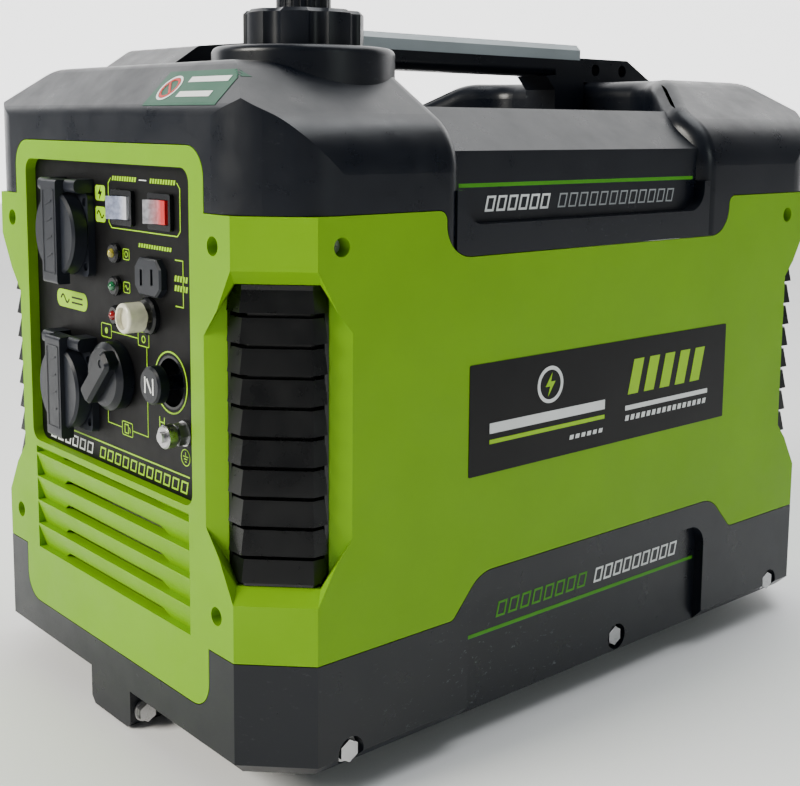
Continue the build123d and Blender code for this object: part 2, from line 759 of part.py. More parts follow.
def make_socket(z):
    """Socket flange with its round well, contact holes and hinge lugs."""
    h = SOCKET_FLANGE / 2
    face_y = SOCKET_FACE_Y
    x = (SOCKET_X - h, SOCKET_X + h)
    solid = soft_block(x, (face_y, PANEL_Y), (z - h, z + h), 4.0, Axis.Y)
    solid += rod_y(SOCKET_X, (PANEL_Y, PANEL_Y + 24), z, SOCKET_BORE_R + 2.4)
    solid -= rod_y(SOCKET_X, (face_y - 1, face_y + SOCKET_DEPTH), z, SOCKET_BORE_R)
    for dx in (-9.5, 9.5):
        solid -= rod_y(SOCKET_X + dx, (face_y + SOCKET_DEPTH - 1, PANEL_Y + 20), z, 2.4)
    pin_z = z + PIN_RISE
    for dx in (-1, 1):
        near = SOCKET_X + dx * (STRAP_HALF_W + 0.6)
        far = SOCKET_X + dx * (h - 1)
        limits = tuple(sorted((near, far)))
        lug = block(limits, (PIN_Y - 4, PANEL_Y), (pin_z - 4, pin_z + 4))
        solid += fillet(lug.edges().filter_by(Axis.X).sort_by(Axis.Y)[:2], 3.0)
    solid -= rod_x((SOCKET_X - h + 3, SOCKET_X + h - 3), PIN_Y, pin_z, PIN_R)
    for dx in (-1, 1):
        for dz in (-1, 1):
            spot = (SOCKET_X + dx * (h - 4), z + dz * (h - 6))
            solid -= rod_y(spot[0], (face_y - 1, face_y + 1.6), spot[1], 2.6)
    return solid


def make_socket_lid(z):
    """Thick round spring lid with its raised strap and knuckle."""
    pin_z = z + PIN_RISE
    back = SOCKET_FACE_Y - 0.6
    front = back - LID_T
    disc = rod_y(SOCKET_X, (front, back), z, LID_R)
    disc = chamfer(disc.edges().sort_by(Axis.Y)[0], 1.5)
    x = (SOCKET_X - STRAP_HALF_W, SOCKET_X + STRAP_HALF_W)
    strap = block(x, (front - STRAP_T, front + 1.5), (z - SOCKET_FLANGE / 2 - 5, pin_z + 3.5))
    strap = fillet(strap.edges().filter_by(Axis.X).sort_by(Axis.Y)[:2], 2.0)
    knuckle = rod_x(x, PIN_Y, pin_z, 3.8)
    web = block(x, (front - STRAP_T + 1, PIN_Y), (pin_z - 4.5, pin_z + 3.5))
    tab = block(x, (front, back - 4), (z - SOCKET_FLANGE / 2 - 5, z - SOCKET_FLANGE / 2 + 4))
    solid = disc + strap + web + tab + knuckle
    return solid - rod_x((x[0] - 1, x[1] + 1), PIN_Y, pin_z, PIN_R + RUN)


def make_socket_pin(z):
    h = SOCKET_FLANGE / 2
    return rod_x((SOCKET_X - h + 3, SOCKET_X + h - 3), PIN_Y, z + PIN_RISE, PIN_R)


def make_switch_frame(x):
    """Rocker switch housing with its bezel."""
    w, h = SWITCH_SIZE
    rw, rh = ROCKER_SIZE
    bezel_y = (PANEL_Y - 2.5, PANEL_Y)
    solid = soft_block((x - w / 2, x + w / 2), bezel_y, (SWITCH_Z - h / 2, SWITCH_Z + h / 2), 1.5, Axis.Y)
    solid += block((x - 10.3, x + 10.3), (PANEL_Y, PANEL_Y + 20), (SWITCH_Z - 7.8, SWITCH_Z + 7.8))
    gap = 0.4
    solid -= block((x - rw / 2 - gap, x + rw / 2 + gap), (PANEL_Y - 5, PANEL_Y + 14),
                   (SWITCH_Z - rh / 2 - gap, SWITCH_Z + rh / 2 + gap))
    solid -= rod_z(x, PANEL_Y + 3.0, (SWITCH_Z - 7.5, SWITCH_Z + 7.5), 1.5)
    return solid


def make_rocker(x):
    """Two-way rocker, resting with its right half pressed in."""
    rw, rh = ROCKER_SIZE
    pivot_y = PANEL_Y + 3.0
    z0 = SWITCH_Z - rh / 2
    points = [(-rw / 2 + 1.2, -10.5), (-1.0, -6.0), (rw / 2 - 1.8, -6.2), (rw / 2 - 1.6, 1.5), (0, 5.0), (-rw / 2 + 1.6, 1.5)]
    outline = [(x + px, pivot_y + py) for px, py in points]
    solid = extrude_z(outline, (z0, z0 + rh))
    for end in (-1, 1):
        z = sorted((SWITCH_Z + end * (rh / 2 - 0.5), SWITCH_Z + end * (rh / 2 + 0.85)))
        solid += rod_z(x, pivot_y, tuple(z), 1.5 - RUN)
    return solid


def make_lamp_bezels():
    solids = []
    for z in LAMP_Z:
        ring = rod_y(LAMP_X, (PANEL_Y - 3.5, PANEL_Y), z, LAMP_R + 1.8)
        ring = chamfer(ring.edges().sort_by(Axis.Y)[0], 1.0)
        body = rod_y(LAMP_X, (PANEL_Y, PANEL_Y + 14), z, LAMP_R)
        solids.append(ring + body - rod_y(LAMP_X, (PANEL_Y - 5, PANEL_Y + 9), z, LAMP_R - 1.2))
    return Compound(children=solids)


def make_lamp_lens(z):
    r = LAMP_R - 1.2
    stem = rod_y(LAMP_X, (PANEL_Y - 3.0, PANEL_Y + 9), z, r)
    dome = Pos(LAMP_X, PANEL_Y - 3.0, z) * Sphere(r)
    return stem + dome


def make_dc_outlet():
    """Two-blade outlet with cut corners."""
    w, h = DC_SIZE
    face = Plane(origin=(DC_X, PANEL_Y, DC_Z), x_dir=(1, 0, 0), z_dir=(0, -1, 0))
    plate = extrude(face * Rectangle(w, h), 4.5)
    plate = chamfer(plate.edges().filter_by(Axis.Y), 5.0)
    plate = chamfer(plate.faces().sort_by(Axis.Y)[0].edges(), 1.0)
    solid = plate + block((DC_X - 10.8, DC_X + 10.8), (PANEL_Y, PANEL_Y + 20), (DC_Z - 7.8, DC_Z + 7.8))
    y = (PANEL_Y - 6, PANEL_Y + 12)
    solid -= block((DC_X - 7.5, DC_X - 5.0), y, (DC_Z - 5, DC_Z + 4))
    solid -= block((DC_X + 4.0, DC_X + 6.5), y, (DC_Z - 4, DC_Z + 5))
    return solid


def make_breaker_body():
    collar = rod_y(BREAKER_X, (PANEL_Y - 4.0, PANEL_Y), BREAKER_Z, BREAKER_R + 2.0)
    collar = chamfer(collar.edges().sort_by(Axis.Y)[0], 1.2)
    body = rod_y(BREAKER_X, (PANEL_Y, PANEL_Y + 28), BREAKER_Z, 5.9)
    bore = rod_y(BREAKER_X, (PANEL_Y - 6, PANEL_Y + 16), BREAKER_Z, 4.0 + RUN)
    return collar + body - bore


def make_breaker_button():
    cap = rod_y(BREAKER_X, (-REACH_Y, PANEL_Y - 7.0), BREAKER_Z, BREAKER_R)
    cap = fillet(cap.edges().sort_by(Axis.Y)[0], 1.5)
    cap -= rod_y(BREAKER_X, (-REACH_Y - 1, -REACH_Y + 3), BREAKER_Z, BREAKER_R - 2.2)
    return cap + rod_y(BREAKER_X, (PANEL_Y - 7.0, PANEL_Y + 12), BREAKER_Z, 4.0)


def make_fuel_valve():
    body = rod_y(KNOB_X, (PANEL_Y + 3.5, PANEL_Y + 30), KNOB_Z, 13.0)
    ports = rod_z(KNOB_X, PANEL_Y + 22, (KNOB_Z - 22, KNOB_Z + 22), 4.0)
    return body + ports - rod_y(KNOB_X, (PANEL_Y, PANEL_Y + 18), KNOB_Z, 4.0 + RUN)


def make_fuel_knob():
    """Round valve knob with a raised grip across it and a dot."""
    front_y = PANEL_Y - KNOB_T
    disc = rod_y(KNOB_X, (front_y, PANEL_Y - 0.4), KNOB_Z, KNOB_R)
    disc = chamfer(disc.edges().sort_by(Axis.Y)[0], 3.0)
    grip = Box(2 * KNOB_R - 1.5, 12.0, 13.0)
    grip = fillet(grip.edges().filter_by(Axis.Y), 4.0)
    grip = chamfer(grip.faces().sort_by(Axis.Y)[0].edges(), 2.0)
    place = Pos(KNOB_X, front_y, KNOB_Z) * Rot(0, -45, 0)
    shaft = rod_y(KNOB_X, (PANEL_Y - 1, PANEL_Y + 17), KNOB_Z, 4.0)
    dimple = place * Pos(KNOB_R - 6, -7, 0) * Rot(90, 0, 0) * Cylinder(2.4, 3.0)
    return disc + place * grip + shaft - dimple


def make_choke_bush():
    """Round well behind the panel that guides the choke shaft."""
    y = (PANEL_Y, PANEL_Y + 14)
    well = rod_y(CHOKE_X, y, CHOKE_Z, CHOKE_WELL_R - 0.1)
    well += rod_y(CHOKE_X, (PANEL_Y + PANEL_T, PANEL_Y + 14), CHOKE_Z, CHOKE_WELL_R + 3)
    well -= rod_y(CHOKE_X, (PANEL_Y - 1, PANEL_Y + 12), CHOKE_Z, CHOKE_WELL_R - 1.5)
    sleeve = rod_y(CHOKE_X, (PANEL_Y + 12, PANEL_Y + 30), CHOKE_Z, 7.0)
    return well + sleeve - rod_y(CHOKE_X, (PANEL_Y, PANEL_Y + 31), CHOKE_Z, 4.0 + RUN)


def make_choke_knob():
    disc = rod_y(CHOKE_X, (PANEL_Y - 13.5, PANEL_Y - 7), CHOKE_Z, CHOKE_R)
    disc = chamfer(disc.edges().sort_by(Axis.Y)[0], 1.2)
    return disc + rod_y(CHOKE_X, (PANEL_Y - 7, PANEL_Y + 55), CHOKE_Z, 4.0)


def make_ground_stud():
    return rod_y(GROUND_X, (PANEL_Y - 16, PANEL_Y + 10), GROUND_Z, 3.0)


def make_ground_nuts():
    """Lock nut, washer and knurled thumb nut of the ground terminal."""
    hexagon = extrude(RegularPolygon(5.5, 6, major_radius=False), 5.0)
    nut = Pos(GROUND_X, PANEL_Y - 1.2, GROUND_Z) * Rot(90, 0, 0) * hexagon
    washer = rod_y(GROUND_X, (PANEL_Y - 1.2, PANEL_Y), GROUND_Z, 7.0)
    thumb = rod_y(GROUND_X, (PANEL_Y - 14, PANEL_Y - 7.5), GROUND_Z, 6.5)
    thumb = chamfer(thumb.edges().filter_by(GeomType.CIRCLE), 0.8)
    bore = rod_y(GROUND_X, (PANEL_Y - 20, PANEL_Y + 1), GROUND_Z, 3.0)
    return Compound(children=[nut + washer - bore, thumb - bore])


# ---- fuel cap and tank ----
def make_tank():
    x = (-120.0, 136.0)
    y = (-196.0, -80.0)
    z = (262.0, 344.0)
    shell = block(x, y, z)
    shell = fillet(shell.edges(), 12.0)
    room = block((x[0] + WALL, x[1] - WALL), (y[0] + WALL, y[1] - WALL), (z[0] + WALL, z[1] - WALL))
    room = fillet(room.edges(), 9.0)
    neck = rod_z(CAP_X, CAP_Y, (z[1] - 2, CAP_Z[0] + 10), NECK_R)
    bore = rod_z(CAP_X, CAP_Y, (z[1] - 10, CAP_Z[0] + 11), NECK_R - 2.5)
    return shell + neck - room - bore


def make_fuel_cap():
    """Lobed screw cap with a vent spindle hole."""
    solid = rod_z(CAP_X, CAP_Y, CAP_Z, CAP_R)
    lobes = 8
    for index in range(lobes):
        angle = (index + 0.5) * 2 * math.pi / lobes
        x = CAP_X + (CAP_R + 4.5) * math.cos(angle)
        y = CAP_Y + (CAP_R + 4.5) * math.sin(angle)
        solid -= rod_z(x, y, CAP_Z, 7.5)
    top = solid.faces().sort_by(Axis.Z)[-1]
    solid = chamfer(top.edges(), 2.0)
    solid -= rod_z(CAP_X, CAP_Y, (CAP_Z[0] - 1, CAP_Z[1] - 7), NECK_R + 1.5)
    return solid - rod_z(CAP_X, CAP_Y, (CAP_Z[1] - 9, CAP_Z[1] + 1), 4.0 + RUN)


def make_vent_knob():
    z = (CAP_Z[1] + 0.3, VENT_TOP)
    solid = rod_z(CAP_X, CAP_Y, z, VENT_R)
    solid = chamfer(solid.edges().sort_by(Axis.Z)[-1], 3.5)
    for index in range(24):
        angle = index * math.pi / 12
        x = CAP_X + (VENT_R + 0.4) * math.cos(angle)
        y = CAP_Y + (VENT_R + 0.4) * math.sin(angle)
        solid -= rod_z(x, y, (z[0] - 1, z[1] - 3.5), 0.9)
    return solid + rod_z(CAP_X, CAP_Y, (CAP_Z[1] - 5, z[0]), 4.0)


# ---- handle ----
def make_handle_grip():
    """Dark lower moulding: grip, two posts and the rear bracket."""
    x = (-GRIP_HALF_W, GRIP_HALF_W)
    grip = block(x, (GRIP_Y[0], GRIP_Y[1]), GRIP_Z)
    grip = fillet(grip.edges().filter_by(Axis.Y).sort_by(Axis.Z)[:2], 6.0)
    front = block(x, (GRIP_Y[0] - POST_DEPTH, GRIP_Y[0] + 2), (RECESS_Z, BAR_Z[0]))
    rear_foot = block(x, (GRIP_Y[1] - POST_DEPTH, GRIP_Y[1]), (RECESS_Z, GRIP_Z[1]))
    inner_y = GRIP_Y[1] - POST_DEPTH
    brace = extrude_x([(inner_y - 10, GRIP_Z[0]), (inner_y + 1, GRIP_Z[0] - 11), (inner_y + 1, GRIP_Z[0] + 1)], x)
    bracket_points = [(GRIP_Y[1] - 2, Z_TOP), (GRIP_Y[1] - 2, 408.0), (205.0, 408.0), (240.0, Z_TOP)]
    bracket = extrude_x(bracket_points, (-11.0, 11.0))
    solid = grip + front + rear_foot + brace + bracket
    for y in (167.0, 199.0):
        solid -= rod_x((-30.0, 30.0), y, 399.5, 4.6)
    return solid


def make_handle_bar():
    """Light cover strip on top of the grip."""
    x = (-BAR_HALF_W, BAR_HALF_W)
    solid = block(x, (GRIP_Y[0] - 20, GRIP_Y[1] - 2.5), BAR_Z)
    solid = chamfer(solid.edges().filter_by(Axis.Y).sort_by(Axis.Z)[-2:], 4.0)
    return solid


# ---- labels ----
def make_side_labels():
    """Plain adhesive labels on the long sides."""
    solids = []
    for side in (-1, 1):
        x = tuple(sorted((side * HALF_W, side * (HALF_W + 0.4))))
        solids.append(soft_block(x, (-114.0, 127.0), (161.0, 225.0), 1.0, Axis.X))
    return Compound(children=solids)


# ---- machine inside ----
def make_engine_block():
    """Crankcase, finned cylinder and head."""
    x = (-8.0, 92.0)
    case = block(x, (CRANK_Y - 58, CRANK_Y + 58), (52.0, 178.0))
    case = fillet(case.edges().filter_by(Axis.X), 22.0)
    sump = block((x[0] + 6, x[1] - 6), (CRANK_Y - 48, CRANK_Y + 48), (30.0, 70.0))
    solid = case + sump
    middle = (x[0] + x[1]) / 2
    solid += rod_z(middle, CRANK_Y, (170.0, 262.0), 29.0)
    for index in range(9):
        z = 184.0 + index * 8.0
        fin = block((middle - 40, middle + 40), (CRANK_Y - 38, CRANK_Y + 38), (z, z + 2.5))
        solid += fillet(fin.edges().filter_by(Axis.Z), 10.0)
    solid += soft_block((middle - 42, middle + 42), (CRANK_Y - 40, CRANK_Y + 40), (258.0, 284.0), 10.0, Axis.Z)
    solid -= rod_x((x[0] + 10, x[1] - 10), CRANK_Y, CRANK_Z, 46.0)
    solid -= rod_x((x[0] - 1, x[1] - 4), CRANK_Y, CRANK_Z, CRANK_R + RUN)
    solid -= rod_z(middle, CRANK_Y - 12, (272.0, 286.0), 5.0)
    return solid


def make_spark_plug():
    x = 42.0
    y = CRANK_Y - 12
    thread = rod_z(x, y, (272.0, 284.0), 5.0)
    hexagon = Pos(x, y, 284.0) * extrude(RegularPolygon(8.0, 6, major_radius=False), 9.0)
    insulator = rod_z(x, y, (293.0, 312.0), 4.5)
    return thread + hexagon + insulator + rod_z(x, y, (312.0, 320.0), 2.5)


def make_crankshaft():
    """Stepped shaft with two webs and an offset pin."""
    solid = rod_x((-72.0, 28.0), CRANK_Y, CRANK_Z, CRANK_R)
    solid += rod_x((56.0, 86.0), CRANK_Y, CRANK_Z, CRANK_R)
    throw = 18.0
    for x in ((20.0, 30.0), (54.0, 64.0)):
        web = block(x, (CRANK_Y - 16, CRANK_Y + 16), (CRANK_Z - 36, CRANK_Z + 30))
        solid += fillet(web.edges().filter_by(Axis.X), 12.0)
    return solid + rod_x((28.0, 56.0), CRANK_Y, CRANK_Z + throw, 9.0)


def make_rotor():
    """Magnet cup with cooling fan blades on its closed side."""
    cup = rod_x((-60.0, -14.0), CRANK_Y, CRANK_Z, ROTOR_R)
    cup -= rod_x((-54.0, -13.0), CRANK_Y, CRANK_Z, 50.0)
    blades = 12
    for index in range(blades):
        blade = Pos(-66.0, 0, 0) * Box(14.0, 26.0, 2.5)
        blade = Pos(0, 43.0, 0) * blade
        cup += Pos(0, CRANK_Y, CRANK_Z) * Rot(index * 360 / blades, 0, 0) * blade
    return cup - rod_x((-80.0, -10.0), CRANK_Y, CRANK_Z, CRANK_R)


def make_stator():
    """Wound core fixed to the crankcase inside the magnet cup."""
    core = rod_x((-46.0, -12.0), CRANK_Y, CRANK_Z, 30.0)
    teeth = 12
    for index in range(teeth):
        turn = Rot(index * 360 / teeth, 0, 0)
        tooth = Pos(-29.0, 38.0, 0) * Box(30.0, 20.0, 8.0)
        shoe = Pos(-29.0, 46.5, 0) * Box(30.0, 3.0, 14.0)
        core += Pos(0, CRANK_Y, CRANK_Z) * turn * (tooth + shoe)
    core += rod_x((-12.0, -8.0), CRANK_Y, CRANK_Z, 24.0)
    return core - rod_x((-60.0, 0.0), CRANK_Y, CRANK_Z, 16.0)


def make_recoil_housing():
    """Starter housing with a reel post and three legs to the crankcase."""
    cup = rod_x((-112.0, -76.0), CRANK_Y, CRANK_Z, 72.0)
    cup -= rod_x((-109.0, -70.0), CRANK_Y, CRANK_Z, 69.0)
    for index in range(8):
        turn = Rot(index * 45, 0, 0)
        cup -= Pos(0, CRANK_Y, CRANK_Z) * turn * Pos(-110.0, 57.0, 0) * Box(10.0, 12.0, 24.0)
    cup += rod_x((-110.0, -82.0), CRANK_Y, CRANK_Z, 8.0)
    for y, z in ((-46.0, -53.0), (46.0, -53.0), (-46.0, 53.0)):
        cup += rod_x((-77.0, -8.0), CRANK_Y + y, CRANK_Z + z, 5.0)
    return cup


def make_recoil_reel():
    """Grooved rope reel on the starter post."""
    reel = rod_x((-104.0, -88.0), CRANK_Y, CRANK_Z, 44.0)
    groove = rod_x((-100.0, -92.0), CRANK_Y, CRANK_Z, 50.0) - rod_x((-101.0, -91.0), CRANK_Y, CRANK_Z, 40.0)
    return reel - groove - rod_x((-105.0, -87.0), CRANK_Y, CRANK_Z, 8.0 + RUN)


def make_recoil_grip():
    """T grip resting in the pocket of the left cover."""
    x = (-HALF_W + 2, -HALF_W + 15)
    bar = block(x, (PULL_Y - 30, PULL_Y + 30), (PULL_Z - 8, PULL_Z + 8))
    bar = fillet(bar.edges(), 5.0)
    stem = rod_x((x[1] - 2, -HALF_W + PULL_POCKET[2] - 0.6), PULL_Y, PULL_Z, 9.0)
    return bar + stem


def make_muffler():
    """Silencer box with the tail pipe that leaves through the rear cover."""
    body = block((-40.0, 110.0), (150.0, 222.0), (140.0, 245.0))
    body = fillet(body.edges(), 14.0)
    inlet = rod_y(42.0, (CRANK_Y + 40, 152.0), 271.0, 11.0)
    elbow = rod_z(42.0, 163.0, (235.0, 282.0), 11.0)
    link = rod_y(42.0, (150.0, 163.0), 271.0, 11.0)
    pipe = rod_y(EXHAUST_X, (220.0, REACH_Y), EXHAUST_Z, 16.0)
    flange = rod_y(EXHAUST_X, (252.0, 255.0), EXHAUST_Z, 24.0)
    bore = rod_y(EXHAUST_X, (224.0, REACH_Y + 1), EXHAUST_Z, 13.0)
    return body + inlet + elbow + link + pipe + flange - bore


def make_carburettor():
    throat = rod_y(42.0, (-20.0, CRANK_Y - 40), 271.0, 14.0)
    bowl = rod_z(42.0, 0.0, (238.0, 266.0), 16.0)
    return throat + bowl - rod_y(42.0, (-21.0, CRANK_Y - 39), 271.0, 8.0)


def make_air_filter():
    body = block((0.0, 90.0), (-62.0, -20.0), (180.0, 258.0))
    body = fillet(body.edges(), 8.0)
    spigot = rod_y(42.0, (-48.0, -20.0), 271.0, 12.0)
    bridge = block((26.0, 58.0), (-56.0, -30.0), (250.0, 271.0))
    return body + spigot + bridge


def make_inverter_module():
    """Potted electronics box with cooling fins."""
    solid = block((-90.0, 90.0), (-222.0, -176.0), (58.0, 150.0))
    for index in range(14):
        x = -84.0 + index * 12.5
        solid += block((x, x + 3.0), (-176.0, -160.0), (62.0, 146.0))
    return solid + block((-100.0, 100.0), (-222.0, -218.0), (50.0, 158.0))


def main():
    os.makedirs("parts", exist_ok=True)
    band = green_band()
    frames = corner_frames()
    cuts = corner_cuts()
    save("front_cover", make_front_cover(band, frames, cuts))
    save("rear_cover", make_rear_cover(band, frames, cuts))
    save("side_cover_right", make_side_cover(1, band, frames, cuts))
    save("side_cover_left", make_side_cover(-1, band, frames, cuts))
    outer = top_form(0.0)
    inner = top_form(WALL)
    save("top_shell_right", make_top_shell(1, outer, inner))
    save("top_shell_left", make_top_shell(-1, outer, inner))
    save("base_right", make_base(1))
    save("base_left", make_base(-1))
    grille = make_grille()
    corners = {"front_right": (1, -1), "front_left": (-1, -1), "rear_right": (1, 1), "rear_left": (-1, 1)}
    for name, (side, end) in corners.items():
        save(f"corner_grille_{name}", corner_place(side, end)(grille))
    save("control_panel", make_panel())
    for name, z in zip(("upper", "lower"), SOCKET_Z):
        save(f"socket_{name}", make_socket(z))
        save(f"socket_{name}_lid", make_socket_lid(z))
        save(f"socket_{name}_pin", make_socket_pin(z))
    for name, x in zip(("economy", "engine"), SWITCH_X):
        save(f"{name}_switch_frame", make_switch_frame(x))
        save(f"{name}_switch_rocker", make_rocker(x))
    save("lamp_bezels", make_lamp_bezels())
    for name, z in zip(("oil", "output", "overload"), LAMP_Z):
        save(f"lamp_lens_{name}", make_lamp_lens(z))
    save("dc_outlet", make_dc_outlet())
    save("breaker_body", make_breaker_body())
    save("breaker_button", make_breaker_button())
    save("fuel_valve", make_fuel_valve())
    save("fuel_valve_knob", make_fuel_knob())
    save("choke_bush", make_choke_bush())
    save("choke_knob", make_choke_knob())
    save("ground_stud", make_ground_stud())
    save("ground_nuts", make_ground_nuts())
    save("fuel_tank", make_tank())
    save("fuel_cap", make_fuel_cap())
    save("vent_knob", make_vent_knob())
    save("handle_grip", make_handle_grip())
    save("handle_bar", make_handle_bar())
    save("cover_screws", Compound(children=[screw_solid(spot) for spot in screw_spots()]))
    save("base_bolts", make_base_bolts())
    save("boss_bolts", make_boss_bolts())
    save("rubber_feet", make_feet())
    save("side_labels", make_side_labels())
    save("engine_block", make_engine_block())
    save("spark_plug", make_spark_plug())
    save("crankshaft", make_crankshaft())
    save("rotor_fan", make_rotor())
    save("stator", make_stator())
    save("recoil_housing", make_recoil_housing())
    save("recoil_reel", make_recoil_reel())
    save("recoil_grip", make_recoil_grip())
    save("muffler", make_muffler())
    save("carburettor", make_carburettor())
    save("air_filter", make_air_filter())
    save("inverter_module", make_inverter_module())


main()
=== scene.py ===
"""Looks of the enclosed inverter generator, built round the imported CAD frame.

Metres, in the frame of the CAD: +X is the right side, -Y the control panel, +Z up.
"""
import json
import math

import bmesh
import bpy
from mathutils import Matrix, Vector
from mathutils.bvhtree import BVHTree


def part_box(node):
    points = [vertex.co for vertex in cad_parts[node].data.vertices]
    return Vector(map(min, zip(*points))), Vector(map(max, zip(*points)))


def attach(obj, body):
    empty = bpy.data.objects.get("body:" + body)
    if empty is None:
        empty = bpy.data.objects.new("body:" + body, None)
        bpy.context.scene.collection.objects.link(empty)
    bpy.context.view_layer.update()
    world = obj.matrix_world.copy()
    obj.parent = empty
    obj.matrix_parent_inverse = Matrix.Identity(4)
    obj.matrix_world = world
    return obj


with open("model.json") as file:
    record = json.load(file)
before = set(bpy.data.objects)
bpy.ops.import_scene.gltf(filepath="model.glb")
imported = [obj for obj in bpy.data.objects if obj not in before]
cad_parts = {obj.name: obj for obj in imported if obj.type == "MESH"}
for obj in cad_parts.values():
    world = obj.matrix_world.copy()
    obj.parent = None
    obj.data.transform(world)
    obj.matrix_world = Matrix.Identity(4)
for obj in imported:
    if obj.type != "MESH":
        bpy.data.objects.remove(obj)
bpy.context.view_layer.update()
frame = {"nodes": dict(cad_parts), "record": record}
MM = 0.001

# ---- places taken from the frame ----
PANEL_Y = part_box("control_panel")[0].y
SIDE_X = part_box("side_cover_right")[1].x
FRONT_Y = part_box("front_cover")[0].y

# ---- sizes of the casing that no single box gives ----
SETBACK_X = SIDE_X - 8 * MM
SCALLOP_X = SIDE_X - 7 * MM
RIM_Z = 364 * MM

# ---- prints ----
PRINT_T = 0.15 * MM
FINE = 0.5 * MM
THIN = 0.6 * MM
FRONTWARDS = (0, -1, 0)


def middle(node):
    low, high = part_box(node)
    return (low + high) / 2


# ---- node materials ----
class Surface:
    """One node material, built up a step at a time."""

    def __init__(self, name):
        self.material = bpy.data.materials.new(name)
        self.material.use_nodes = True
        self.tree = self.material.node_tree
        self.shader = self.tree.nodes["Principled BSDF"]
        self.place = self.node("ShaderNodeTexCoord").outputs["Object"]

    def node(self, kind, **settings):
        made = self.tree.nodes.new(kind)
        for key, value in settings.items():
            setattr(made, key, value)
        return made

    def link(self, output, socket):
        self.tree.links.new(output, socket)

    def set(self, **values):
        """Constant values straight on the shader's own sockets."""
        for key, value in values.items():
            self.shader.inputs[key.replace("_", " ")].default_value = value

    def noise(self, scale, detail=3.0, roughness=0.5, stretch=(1.0, 1.0, 1.0)):
        """Noise in object space; scale is in cells per metre."""
        mapping = self.node("ShaderNodeMapping")
        mapping.inputs["Scale"].default_value = stretch
        self.link(self.place, mapping.inputs["Vector"])
        made = self.node("ShaderNodeTexNoise")
        made.inputs["Scale"].default_value = scale
        made.inputs["Detail"].default_value = detail
        made.inputs["Roughness"].default_value = roughness
        self.link(mapping.outputs["Vector"], made.inputs["Vector"])
        return made.outputs["Fac"]

    def ramp(self, value, low, high, start, stop):
        """Colours from low to high as value goes from start to stop."""
        made = self.node("ShaderNodeValToRGB")
        made.color_ramp.elements[0].position = start
        made.color_ramp.elements[0].color = (*low, 1.0)
        made.color_ramp.elements[1].position = stop
        made.color_ramp.elements[1].color = (*high, 1.0)
        self.link(value, made.inputs["Fac"])
        return made.outputs["Color"]

    def grey(self, value, low, high, start=0.3, stop=0.7):
        return self.ramp(value, (low,) * 3, (high,) * 3, start, stop)

    def mix(self, share, first, second):
        """Colour first where share is 0 and second where it is 1."""
        made = self.node("ShaderNodeMix", data_type="RGBA")
        self.link(share, made.inputs["Factor"])
        for colour, socket in ((first, made.inputs["A"]), (second, made.inputs["B"])):
            if isinstance(colour, tuple):
                socket.default_value = (*colour, 1.0)
            else:
                self.link(colour, socket)
        return made.outputs["Result"]

    def bump(self, heights):
        """Normal from (height, strength, distance) layers, coarse to fine."""
        normal = None
        for height, strength, distance in heights:
            made = self.node("ShaderNodeBump")
            made.inputs["Strength"].default_value = strength
            made.inputs["Distance"].default_value = distance
            self.link(height, made.inputs["Height"])
            if normal is not None:
                self.link(normal, made.inputs["Normal"])
            normal = made.outputs["Normal"]
        self.link(normal, self.shader.inputs["Normal"])


def coated(surface, tone, roughness, spread=0.07, scale=45.0):
    """Colour and an uneven skin, shared by all the materials below."""
    surface.link(tone, surface.shader.inputs["Base Color"])
    wear = surface.noise(scale, 5.0, 0.6)
    uneven = surface.grey(wear, roughness - spread, roughness + spread)
    surface.link(uneven, surface.shader.inputs["Roughness"])


def spread_tone(surface, colour, spread, scale=14.0):
    dark = tuple(c * (1 - spread) for c in colour)
    light = tuple(c * (1 + spread) for c in colour)
    return surface.ramp(surface.noise(scale, 4.0), dark, light, 0.35, 0.65)


def moulded(name, colour, roughness, grain=0.25, spread=0.08, scuff=None, gloss=0.35):
    """Injection-moulded plastic: faint mottling, fine grain, optional pale scuffs."""
    surface = Surface(name)
    tone = spread_tone(surface, colour, spread)
    if scuff:
        patches = surface.grey(surface.noise(9.0, 2.0), 0.0, 1.0, 0.52, 0.72)
        marks = surface.noise(160.0, 9.0, 0.75, (1.0, 1.0, 2.5))
        chips = surface.grey(marks, 0.0, 0.75, 0.60, 0.66)
        share = surface.node("ShaderNodeMath", operation="MULTIPLY")
        surface.link(patches, share.inputs[0])
        surface.link(chips, share.inputs[1])
        tone = surface.mix(share.outputs["Value"], tone, scuff)
    coated(surface, tone, roughness)
    surface.set(Specular_IOR_Level=gloss)
    surface.bump([(surface.noise(18.0, 2.0), 0.12, 0.0006), (surface.noise(2600.0, 2.0), grain, 0.00006)])
    return surface.material


def clear_plastic(name, colour, through=0.55, roughness=0.10):
    """Tinted see-through moulding such as a lens or a rocker."""
    surface = Surface(name)
    coated(surface, spread_tone(surface, colour, 0.12, 180.0), roughness, 0.04)
    surface.set(Transmission_Weight=through, IOR=1.49, Coat_Weight=0.4, Coat_Roughness=0.05)
    surface.bump([(surface.noise(220.0, 2.0), 0.08, 0.0002)])
    return surface.material


